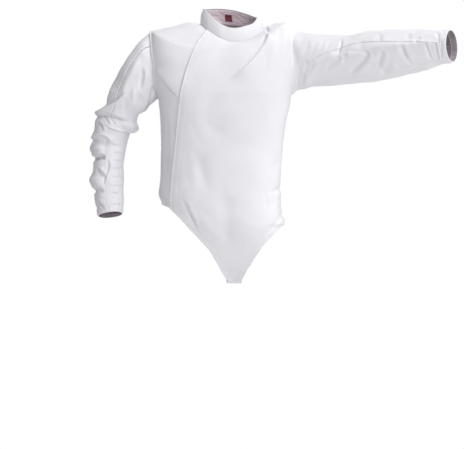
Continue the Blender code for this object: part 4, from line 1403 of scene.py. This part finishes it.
@dataclass
class BodyPanel(ClothPiece):
    """Panel of the body between two lines that run up it."""

    first: Callable[[Array], Array] = field(default=lambda level: level)
    last: Callable[[Array], Array] = field(default=lambda level: level)
    low: float = 3.0
    columns: int = 60
    joins: tuple[tuple[Where, EdgeFinish, float, float], ...] = ()
    armhole_columns: tuple[tuple[int, int], ...] = ()
    lapped: bool = False

    def build(self) -> None:
        """Build the panel and dress it."""
        levels = levels_of_body(self.low, float(TORSO.neck))
        start, end = self.first(levels), self.last(levels)
        fine = np.linspace(0, 1, 181)
        angles = start[:, None] * (1 - fine) + end[:, None] * fine
        run = run_along(TORSO.point(angles, levels[:, None]), 1)
        places = stations(run[:, -1], self.columns)
        angle = np.array([np.interp(p, r, a) for p, r, a in zip(places, run, angles)])
        level = np.repeat(levels[:, None], angle.shape[1], axis=1)
        points, normals = TORSO.point(angle, level), TORSO.normal(angle, level)
        normals = self.share_normals(points, normals, angle, levels)
        height = SEEN_FOLDS.push(points, normals)
        height += unevenness(points) * self.away_from_edges(points)
        if self.lapped:
            height += lap_lift(points, level)
        cloth = points + normals * height[..., None]
        edges = [PanelEdge(where, finish, *self.rows_between(levels, low, high))
                 for where, finish, low, high in self.joins]
        cloth, rise, rows = finish_edges(cloth, normals, edges)
        self.dress(ClothShell(cloth, normals), self.thickness + np.maximum(rise, 0) * RISE_LAYERS, rows)

    def rows_between(self, levels: Array, low: float, high: float) -> tuple[int, int | None]:
        """Numbers of the rows from one level to another."""
        inside = np.nonzero((levels >= low - TINY) & (levels <= high + TINY))[0]
        return int(inside[0]), int(inside[-1]) + 1

    def away_from_edges(self, points: Array) -> Array:
        """How free the cloth is of its seams.

        Args:
            points: The panel's grid.

        Returns:
            0 on the sides and the top of the panel, and 1 well inside it.
        """
        across = run_along(points, 1)
        up = run_along(points, 0)
        near = np.minimum(across, across[:, -1:] - across)
        near = np.minimum(near, up[-1:] - up)
        return ease(near / 25.0)

    def share_normals(self, points: Array, normals: Array, angle: Array, levels: Array) -> Array:
        """Normals that turn at the armholes and the neck as the sewn-on pieces do.

        Args:
            points: The panel's grid.
            normals: Its own normals.
            angle: Angles of the grid.
            levels: Level of each row.

        Returns:
            The normals.
        """
        result = normals.copy()
        inside = (levels >= TORSO.armpit - TINY) & (levels <= TORSO.shoulder + TINY)
        cosine = 1 - 2 * (TORSO.shoulder - levels[inside]) / (TORSO.shoulder - TORSO.armpit)
        turn = np.degrees(np.arccos(np.clip(cosine, -1, 1)))
        for column, side in self.armhole_columns:
            in_front = np.sin(np.radians(angle[:, angle.shape[1] // 2].mean())) > 0
            shared = armhole_normal(turn if in_front else 360.0 - turn, side)
            line = points[inside, column]
            distance, along = distance_to_line(points, line)
            knots = run_along(line[None], 1)[0]
            there = np.stack([np.interp(along, knots, shared[:, k]) for k in range(3)], axis=-1)
            weight = (1 - ease(distance / ARMHOLE_BLEND))[..., None]
            result = unit(result * (1 - weight) + there * weight)
        top = neck_normal(angle[-1])
        up = run_along(points, 0)
        weight = (1 - ease((up[-1:] - up) / NECK_BLEND))[..., None]
        return unit(result * (1 - weight) + top[None] * weight)


def armhole_normal(turn: Array, side: int) -> Array:
    """Normals halfway between the body's and the sleeve's at an armhole.

    Args:
        turn: Degrees from the shoulder point round the front.
        side: 1 for the left armhole and -1 for the right one.

    Returns:
        The normals, at length one.
    """
    turn = np.asarray(turn, float)
    level, angle = TORSO.armhole_place(turn, side)
    sleeve = LEFT_SLEEVE if side > 0 else RIGHT_SLEEVE
    return unit(TORSO.normal(angle, level) + sleeve.normal(turn[None], np.zeros(1))[0])


def neck_normal(angle: Array) -> Array:
    """Normals halfway between the body's and the collar's at the neck seam."""
    return unit(TORSO.normal(angle, np.full(angle.shape, float(TORSO.neck)))
                + COLLAR.normal(angle, np.zeros(angle.shape)))


LAP_WIDTH = 45.0
LAP_FADE = 40.0
LAP_HEIGHT = 3.0


def lap_lift(points: Array, level: Array) -> Array:
    """How far the over front stands off the form where it lies on the under front.

    Args:
        points: Points in millimetres.
        level: Their levels.

    Returns:
        The rise at each in millimetres.
    """
    line = columns_of(("up", "across"), TORSO.closing)
    aside = points[..., 0] - np.interp(points[..., 2], line["up"], line["across"])
    lapped = 1 - ease((aside - LAP_WIDTH - 1) / LAP_FADE)
    return LAP_HEIGHT * lapped * ease((level - 2.0) / 0.9)


# Sizes that a sleeve's two pieces and its cuff share
CUFF_LENGTH = 18.0
CUFF_TURN = 60.0
SLEEVE_ROW = 2.6
# How far down the lowered sleeve its seams are felled
ELBOW = 185.0


@dataclass
class SleevePiece(ClothPiece):
    """One of a sleeve's two lengthwise pieces."""

    form: SleeveForm = LEFT_SLEEVE
    upper: bool = True
    columns: int = 56
    edge: EdgeFinish = PLAIN_SEAM
    edge_length: float = 1000.0
    armhole: EdgeFinish = PLAIN_SEAM

    def turns(self, distance: Array) -> tuple[Array, Array]:
        """First and last turn of the piece.

        Args:
            distance: Distances from the armhole.

        Returns:
            The first and the last turn at each.
        """
        front = self.form.seam_turn(distance, "front")
        back = self.form.seam_turn(distance, "back")
        return (back - 360.0, front) if self.upper else (front, back)

    def build(self) -> None:
        """Build the piece and dress it."""
        end = self.form.length - CUFF_LENGTH
        steps = np.array(EDGE_STEPS)
        between = np.arange(steps[-1] + SLEEVE_ROW, end - 13.0, SLEEVE_ROW)
        distance = np.concatenate([steps, between, end - steps[:8][::-1]])
        start, stop = self.turns(distance)
        fine = np.linspace(0, 1, 121)
        turns = start[:, None] * (1 - fine) + stop[:, None] * fine
        run = run_along(self.form.point(turns, distance), 1)
        places = stations(run[:, -1], self.columns)
        turn = np.array([np.interp(p, r, t) for p, r, t in zip(places, run, turns)])
        points, normals = sleeve_cloth(self.form, turn, distance)
        edges = [PanelEdge(Where.FIRST_ROW, self.armhole), PanelEdge(Where.LAST_ROW, PLAIN_SEAM)]
        change = int(np.searchsorted(distance, self.edge_length))
        for side in (Where.FIRST_COLUMN, Where.LAST_COLUMN):
            edges.append(PanelEdge(side, self.edge, 0, change))
            if change < len(distance):
                edges.append(PanelEdge(side, FLAT_SEAM, change - 1, None))
        cloth, rise, rows = finish_edges(points, normals, edges)
        self.dress(ClothShell(cloth, normals), self.thickness + np.maximum(rise, 0) * RISE_LAYERS, rows)


def sleeve_cloth(form: SleeveForm, turn: Array, distance: Array) -> tuple[Array, Array]:
    """Folded cloth of a sleeve and its normals.

    Args:
        form: The sleeve's form.
        turn: Turns, in rows.
        distance: Distance of each row from the armhole.

    Returns:
        The points and the normals.
    """
    points, normals = form.point(turn, distance), form.normal(turn, distance)
    shared = armhole_normal(np.mod(turn[0], 360.0), form.side)
    weight = (1 - ease(distance / ARMHOLE_BLEND))[:, None, None]
    normals = unit(normals * (1 - weight) + shared[None] * weight)
    height = SEEN_FOLDS.push(points, normals)
    free = ease(distance / 20.0) * ease((form.length + 8.0 - distance) / 20.0)
    own = unevenness(points, 9, 0.9, 60.0)
    around = np.stack([np.zeros_like(turn), np.repeat(distance[:, None], turn.shape[1], axis=1)], axis=-1)
    for crowd in SLEEVE_CROWDS[form.side]:
        for fold in crowd.folds():
            middle = fold.route[1][0]
            around[..., 0] = np.mod(turn - middle + 180.0, 360.0) - 180.0 + middle
            own = own + fold.push(around)
    height = height + own * free[:, None]
    cloth = points + normals * height[..., None]
    end = ease((distance - form.length + CUFF_TURN) / CUFF_TURN)[:, None]
    cloth[..., 2] += form.level_cuff * (points[..., 1] - form.middles[-1, 1]) * end
    return cloth, normals


@dataclass
class CuffBand(ClothPiece):
    """Turned hem band at a sleeve's end.

    steps are the distances of its rows from its seam, and sewn the rows that are sewn.
    """

    form: SleeveForm = LEFT_SLEEVE
    columns: int = 150
    steps: tuple[float, ...] = (0, 0.8, 1.6, 2.6, 3.8, 5.5, 8, 11, 13.5, 15.2, 16.4, 17.3, 18.0)
    sewn: tuple[int, ...] = (3, 8)

    def build(self) -> None:
        """Build the band and dress it."""
        start = self.form.length - CUFF_LENGTH
        distance = start + np.array(self.steps)
        turn = np.repeat(np.linspace(0, 360, self.columns, endpoint=False)[None], len(distance), axis=0)
        points, normals = sleeve_cloth(self.form, turn, distance)
        past = np.repeat((distance - start)[:, None], self.columns, axis=1)
        along = turn * self.form.table["deep"][-1] / 57.3
        seam = -1.1 * np.exp(-(past / 1.3) ** 2)
        rim = 0.9 * np.exp(-((past - CUFF_LENGTH) / 1.3) ** 2)
        band = 0.7 * ease((past - 0.8) / 2) - 0.4 * np.exp(-((past - 14.0) / 1.1) ** 2)
        pucker = 0.35 * np.sin(along / 2.4 + 1.3 * np.sin(along / 13))
        height = seam - rim
        height += band
        height += pucker * ease(past / 4) * ease((CUFF_LENGTH - past) / 6)
        cloth = points + normals * height[..., None]
        rows = []
        for row in self.sewn:
            line = np.concatenate([cloth[row], cloth[row, :1]])
            ways = np.concatenate([normals[row], normals[row, :1]])
            rows.append(ThreadRow(line, ways))
        self.dress(ClothShell(cloth, normals, closed=True), self.thickness, rows)


def collar_angles(count: int) -> tuple[Array, Array]:
    """Angles round the collar, from its inner end to its outer one, and its lift.

    Args:
        count: Number of angles.

    Returns:
        The angles and how far the collar stands off its form at each.
    """
    top = np.array([float(TORSO.neck)])
    inner = float(TORSO.closing_angle(top, LAP_WIDTH)[0])
    outer = float(TORSO.closing_angle(top)[0]) + 360.0
    angles = np.linspace(inner, outer, count)
    seam = TORSO.point(angles, np.full(count, top[0]))
    lift = np.where(angles > 360.0, lap_lift(seam, np.full(count, top[0])), 0.0)
    return angles, lift


# How far the collar's rim has sunk on the left of the front, in millimetres, and where
RIM_DROP = 8.0
RIM_DROP_ANGLE = 33.0
RIM_DROP_SPREAD = 21.0


def rim_drop(angle: Array, height: Array) -> Array:
    """How far the collar sinks at angles and heights, the rim being at height 2."""
    past = np.mod(angle - RIM_DROP_ANGLE + 180.0, 360.0) - 180.0
    return RIM_DROP * np.exp(-(past / RIM_DROP_SPREAD) ** 2) * (height / 2) ** 1.5


@dataclass
class StandCollar(ClothPiece):
    """Stand collar of two layers, whose outer end laps over its inner end.

    shares are the heights of its rows as shares of the collar's, and foot is the share
    over which its normals run together with the body's.
    """

    columns: int = 240
    shares: tuple[float, ...] = (0, 0.02, 0.045, 0.08, 0.13, 0.2, 0.28, 0.37, 0.46, 0.55, 0.64, 0.72,
                                 0.79, 0.85, 0.9, 0.94, 0.97, 0.985, 1.0)
    foot: float = 0.3

    def build(self) -> None:
        """Build the collar and dress it."""
        angles, lift = collar_angles(self.columns)
        share = np.array(self.shares)
        angle, height = np.meshgrid(angles, share * (len(COLLAR.rows) - 1))
        points, normals = COLLAR.point(angle, height), COLLAR.normal(angle, height)
        weight = (1 - ease(share / self.foot))[:, None, None]
        normals = unit(normals * (1 - weight) + neck_normal(angles)[None] * weight)
        push = lift[None] + SEEN_FOLDS.push(points, normals)
        points = points + normals * push[..., None]
        points[..., 2] -= rim_drop(angle, height)
        edges = [PanelEdge(Where.FIRST_ROW, EdgeFinish(dip=1.1, stitches=(2.2,), pucker=0.2)),
                 PanelEdge(Where.LAST_ROW, EdgeFinish(dip=0.9, stitches=(4.0,), pucker=0.15)),
                 PanelEdge(Where.LAST_COLUMN, EdgeFinish(dip=0.7, stitches=(4.0,)))]
        cloth, _, rows = finish_edges(points, normals, edges)
        self.dress(ClothShell(cloth, normals), self.thickness, rows)


def lining_cloth(angles: Array, share: Array, inside: float) -> tuple[Array, Array]:
    """Rumpled lining inside the collar.

    Args:
        angles: Angles round the collar.
        share: Shares of the collar's height.
        inside: How far it lies inside the collar's form, in millimetres.

    Returns:
        The points and the normals.
    """
    every, lift = collar_angles(240)
    angle, height = np.meshgrid(angles, share * (len(COLLAR.rows) - 1))
    points, normals = COLLAR.point(angle, height), COLLAR.normal(angle, height)
    wander = 1.6 * np.sin(angle / 17) + 0.9 * np.sin(angle / 7.3 + 1)
    rumple = (1.3 * np.sin(height * 10 + wander) + 0.8 * np.sin(height * 17 - wander * 1.6 + 2)
              + 0.4 * np.sin(angle / 3.1 + height * 4)) * ease(height / 0.3) * ease((2 - height) / 0.3)
    depth = inside + np.interp(angle, every, -lift) + np.abs(rumple)
    cloth = points - normals * depth[..., None]
    cloth[..., 2] -= rim_drop(angle, height)
    return cloth, normals


@dataclass
class CollarLining(ClothPiece):
    """Strip of lining inside the collar, by angles and shares of the collar's height."""

    angles: tuple[float, float] = (122.0, 462.0)
    shares: tuple[float, float] = (0.05, 0.955)
    columns: int = 200
    rows: int = 26
    inside: float = 3.2

    def build(self) -> None:
        """Build the strip and dress it."""
        share = np.linspace(*self.shares, self.rows)
        points, normals = lining_cloth(np.linspace(*self.angles, self.columns), share, self.inside)
        self.dress(ClothShell(points, normals), self.thickness, ())


@dataclass
class NeckLabel(CollarLining):
    """Small blank tab of tape on the lining, at the back of the neck."""

    angles: tuple[float, float] = (257.0, 271.0)
    shares: tuple[float, float] = (0.24, 0.68)
    columns: int = 16
    rows: int = 16
    inside: float = 4.4


@dataclass
class CrotchStrap(ClothPiece):
    """Strap from the point of the V, between the legs, to the inside of the back hem.

    It takes on the V's form over foot millimetres and then runs on inside the back hem, lap
    millimetres from the form, up to the level lap_level. There it is as wide as before with
    lap_turn millimetres to a degree.
    """

    route: tuple[tuple[float, float, float], ...] = (
        (7, -46, -702), (7, -22, -709), (6, 8, -710), (4, 40, -697), (-2, 68, -662),
        (-9, 88, -616), (-17, 98, -564), (-22, 101, -515))
    width: float = 40.0
    foot: float = 18.0
    lap: float = 3.0
    lap_level: float = 3.4
    lap_turn: float = 1.9

    def build(self) -> None:
        """Build the strap and dress it."""
        knots = np.arange(len(self.route), dtype=float)
        places = np.linspace(0, knots[-1], 90)
        route = smooth(knots, np.array(self.route, float), places)
        aside = stations(np.full(1, self.width), 6)[0] - self.width / 2
        across = np.array([1.0, 0.0, 0.0])
        points = route[:, None] + aside[None, :, None] * across
        along = unit(np.gradient(route, axis=0))
        normals = np.repeat(unit(np.cross(along, across))[:, None], len(aside), axis=1)
        first = np.zeros(1)
        ends = np.array([TORSO.closing_angle(first)[0], TORSO.point_angle(first)[0]])
        angle = np.interp(aside, (-self.width / 2, self.width / 2), ends)
        blend = (1 - ease(run_along(route[None], 1)[0] / self.foot))[:, None, None]
        foot, way = TORSO.point(angle, np.zeros(angle.shape)), TORSO.normal(angle, np.zeros(angle.shape))
        points = points + (foot - points[0])[None] * blend
        normals = unit(normals * (1 - blend) + way[None] * blend)
        levels = np.linspace(TORSO.hem, self.lap_level, 12)
        angle, level = np.meshgrid(270.0 + aside / self.lap_turn, levels)
        lap_way = TORSO.normal(angle, level)
        lap = TORSO.point(angle, level) - lap_way * self.lap
        points, normals = np.concatenate([points, lap]), np.concatenate([normals, lap_way])
        finish = EdgeFinish(dip=0.5, stitches=(3.0,))
        edges = [PanelEdge(where, finish) for where in (Where.FIRST_COLUMN, Where.LAST_COLUMN)]
        cloth, _, rows = finish_edges(points, normals, edges)
        self.dress(ClothShell(cloth, normals), self.thickness, rows)


# The jacket


def left_side(level: Array) -> Array:
    """Angles of the left side seam, armhole and shoulder seam on the front."""
    return np.where((level > TORSO.armpit) & (level < TORSO.shoulder), TORSO.armhole_inset(level), 0.0)


def over_edge(level: Array) -> Array:
    """Angles of the over front's far edge: the V's, then the left side's."""
    return np.where(level < TORSO.hem, TORSO.point_angle(level), left_side(level))


def jacket() -> list[ClothPiece]:
    """Pieces of the jacket, in the order they are sewn.

    Returns:
        Every piece, not yet built.
    """
    hem, armpit = float(TORSO.hem), float(TORSO.armpit)
    shoulder, neck = float(TORSO.shoulder), float(TORSO.neck)
    return [
        BodyPanel("front_over_cloth", "front_over", "white_cotton", (0.40, 0.77), 0.218,
                  ("collar_cloth",), first=TORSO.closing_angle, last=over_edge, low=0.0,
                  columns=84, lapped=True, armhole_columns=((-1, 1),), joins=(
                      (Where.FIRST_COLUMN, POINT_HEM, 0.0, 2.97),
                      (Where.FIRST_COLUMN, CLOSING_HEM, 2.97, neck),
                      (Where.LAST_COLUMN, TURNED_HEM, 0.0, 2.97),
                      (Where.LAST_COLUMN, PLAIN_SEAM, hem, armpit),
                      (Where.LAST_COLUMN, FELLED_SEAM, armpit, shoulder),
                      (Where.LAST_COLUMN, PLAIN_SEAM, shoulder, neck))),
        BodyPanel("front_under_cloth", "front_under", "white_cotton", (0.26, 0.57), 0.091,
                  ("collar_cloth",), first=lambda level: 180.0 - left_side(level),
                  last=lambda level: TORSO.closing_angle(level, LAP_WIDTH), columns=34,
                  armhole_columns=((0, -1),), joins=(
                      (Where.FIRST_COLUMN, PLAIN_SEAM, hem, armpit),
                      (Where.FIRST_COLUMN, RAISED_SEAM, armpit, shoulder),
                      (Where.FIRST_COLUMN, PLAIN_SEAM, shoulder, neck))),
        BodyPanel("back_cloth", "back", "white_cotton", (0.50, 0.56), 0.238,
                  ("collar_cloth",), first=lambda level: 180.0 + left_side(level),
                  last=lambda level: 360.0 - left_side(level), columns=96,
                  armhole_columns=((0, -1), (-1, 1)),
                  joins=tuple((where, FELLED_SEAM, *span)
                              for where in (Where.FIRST_COLUMN, Where.LAST_COLUMN)
                              for span in ((hem, armpit), (armpit, shoulder), (shoulder, neck)))),
        SleevePiece("sleeve_left_upper_cloth", "sleeve_left_upper", "white_cotton",
                    (0.30, 0.48), 0.091, ("front_over_cloth", "back_cloth"), form=LEFT_SLEEVE,
                    upper=True, columns=66, edge=FELLED_SEAM),
        SleevePiece("sleeve_left_under_cloth", "sleeve_left_under", "white_cotton",
                    (0.26, 0.42), 0.093, ("front_over_cloth", "back_cloth"), form=LEFT_SLEEVE,
                    upper=False, columns=60),
        SleevePiece("sleeve_right_upper_cloth", "sleeve_right_upper", "white_cotton",
                    (0.20, 0.56), 0.075, ("front_under_cloth", "back_cloth"), form=RIGHT_SLEEVE,
                    upper=True, columns=46, edge=FELLED_SEAM, edge_length=ELBOW,
                    armhole=DEEP_SEAM),
        SleevePiece("sleeve_right_under_cloth", "sleeve_right_under", "white_cotton",
                    (0.26, 0.52), 0.088, ("front_under_cloth", "back_cloth"), form=RIGHT_SLEEVE,
                    upper=False, columns=60, edge=DEEP_SEAM, edge_length=ELBOW,
                    armhole=DEEP_SEAM),
        CuffBand("cuff_left_cloth", "cuff_left", "white_cotton", (0.29, 0.020), None,
                 ("sleeve_left_upper_cloth",), thickness=2.2, form=LEFT_SLEEVE),
        CuffBand("cuff_right_cloth", "cuff_right", "white_cotton", (0.27, 0.020), None,
                 ("sleeve_right_upper_cloth",), thickness=2.2, form=RIGHT_SLEEVE),
        StandCollar("collar_cloth", "collar", "white_cotton", (0.54, 0.047), 0.024,
                    ("front_over_cloth", "back_cloth"), thickness=2.4, held="stretched"),
        CollarLining("collar_lining_cloth", "collar_lining", "lining", (0.43, 0.040), None,
                     ("collar_cloth",), cloth=TRICOT_LINING, thickness=0.9, held="stretched"),
        NeckLabel("neck_label_tape", "neck_label", "label", (0.020, 0.019), None,
                  ("collar_lining_cloth",), cloth=SATIN_LABEL, thickness=0.5, held="stretched"),
        CrotchStrap("crotch_strap_cloth", "crotch_strap", "white_cotton", (0.04, 0.36), None,
                    ("front_over_cloth", "back_cloth"), cloth=COTTON_STRAP, thickness=1.8),
    ]


# Studio


@dataclass(frozen=True)
class SoftLight:
    """Round soft lamp that looks at the chest, in degrees, watts and metres.

    It hangs across degrees from straight in front, towards the wearer's left, and up
    degrees above the level.
    """

    name: str
    across: float
    up: float
    power: float
    size: float = 1.4
    distance: float = 4.3
    aim: tuple[float, float, float] = (0.0, 0.0, -0.35)

    def build(self) -> None:
        """Hang the lamp."""
        lamp = bpy.data.lights.new(self.name, "AREA")
        lamp.shape, lamp.size, lamp.energy = "DISK", self.size, self.power
        stand = bpy.data.objects.new(self.name, lamp)
        across, up = math.radians(self.across), math.radians(self.up)
        way = Vector((math.sin(across) * math.cos(up), -math.cos(across) * math.cos(up), math.sin(up)))
        stand.location = Vector(self.aim) + way * self.distance
        stand.rotation_euler = (-way).to_track_quat("-Z", "Y").to_euler()
        bpy.context.scene.collection.objects.link(stand)


@dataclass(frozen=True)
class Studio:
    """Pale floor, soft lights and the camera, in metres."""

    floor_height: float = -1.45
    floor_reach: float = 4.5
    floor_back: float = 1.7
    eye: tuple[float, float, float] = (0.0, -SEEN_FROM * MM, SEEN_HEIGHT * MM)
    pixels: tuple[int, int] = (464, 449)
    pixel: float = 2.78
    lights: tuple[SoftLight, ...] = (
        SoftLight("high_key", 60.0, 64.0, 80.0),
        SoftLight("front_fill", 6.0, 34.0, 45.0),
        SoftLight("low_fill", 33.0, 8.0, 29.0),
        SoftLight("side_fill", 90.0, 8.0, 30.0),
        SoftLight("back_fill", 186.0, 30.0, 46.0),
    )
    room: float = 0.31

    def build(self) -> None:
        """Set up the floor, the lights and the camera."""
        self.lay_floor()
        for light in self.lights:
            light.build()
        self.light_room()
        self.place_camera()
        view = bpy.context.scene.view_settings
        view.view_transform, view.look = "Standard", "None"
        LOG.info("studio: %d lights", len(self.lights))

    def lay_floor(self) -> None:
        """Lay the floor."""
        reach, back, height = self.floor_reach, self.floor_back, self.floor_height
        corners = [(-reach, -reach, height), (reach, -reach, height),
                   (reach, back, height), (-reach, back, height)]
        mesh = bpy.data.meshes.new("floor")
        mesh.from_pydata(corners, [], [(0, 1, 2, 3)])
        material = bpy.data.materials.new("painted_plaster_floor")
        material.use_nodes = True
        tree = material.node_tree
        tree.nodes.clear()
        place = add_node(tree, "ShaderNodeTexCoord")
        cloud = add_node(tree, "ShaderNodeTexNoise", {"Scale": 1.4, "Detail": 3.0},
                         {"Vector": (place, "Object")})
        tint = add_node(tree, "ShaderNodeMix", {"data_type": "RGBA"}, {"Factor": (cloud, "Fac")})
        tint.inputs[6].default_value = linear("#F6F6F7")
        tint.inputs[7].default_value = linear("#FAFAFA")
        shader = add_node(tree, "ShaderNodeBsdfPrincipled", {"Roughness": 0.85, "Metallic": 0.0},
                          {"Base Color": (tint, 2)})
        add_node(tree, "ShaderNodeOutputMaterial", {}, {"Surface": (shader, "BSDF")})
        mesh.materials.append(material)
        floor = bpy.data.objects.new("floor", mesh)
        bpy.context.scene.collection.objects.link(floor)

    def light_room(self) -> None:
        """White room: its walls look white and light the jacket softly from all round."""
        world = bpy.data.worlds.new("room")
        bpy.context.scene.world = world
        world.use_nodes = True
        tree = world.node_tree
        tree.nodes.clear()
        path = add_node(tree, "ShaderNodeLightPath")
        strength = add_node(tree, "ShaderNodeMapRange", {"To Min": self.room, "To Max": 1.0},
                            {"Value": (path, "Is Camera Ray")})
        walls = add_node(tree, "ShaderNodeBackground", {"Color": linear("#FFFFFF")},
                         {"Strength": (strength, "Result")})
        add_node(tree, "ShaderNodeOutputWorld", {}, {"Surface": (walls, "Background")})

    def place_camera(self) -> None:
        """Place the camera level, straight in front."""
        data = bpy.data.cameras.new("camera")
        data.sensor_width = 36.0
        data.lens = data.sensor_width * self.eye[1] / (-self.pixels[0] * self.pixel * MM)
        data.clip_start, data.clip_end = 0.1, 60.0
        camera = bpy.data.objects.new("camera", data)
        camera.location = self.eye
        camera.rotation_euler = (math.radians(90), 0.0, 0.0)
        bpy.context.scene.collection.objects.link(camera)
        bpy.context.scene.camera = camera


def main() -> None:
    """Build the jacket and the studio."""
    logging.basicConfig(level=logging.INFO, format="%(name)s: %(message)s")
    for piece in jacket():
        piece.build()
    Studio().build()


if __name__ == "__main__":
    main()
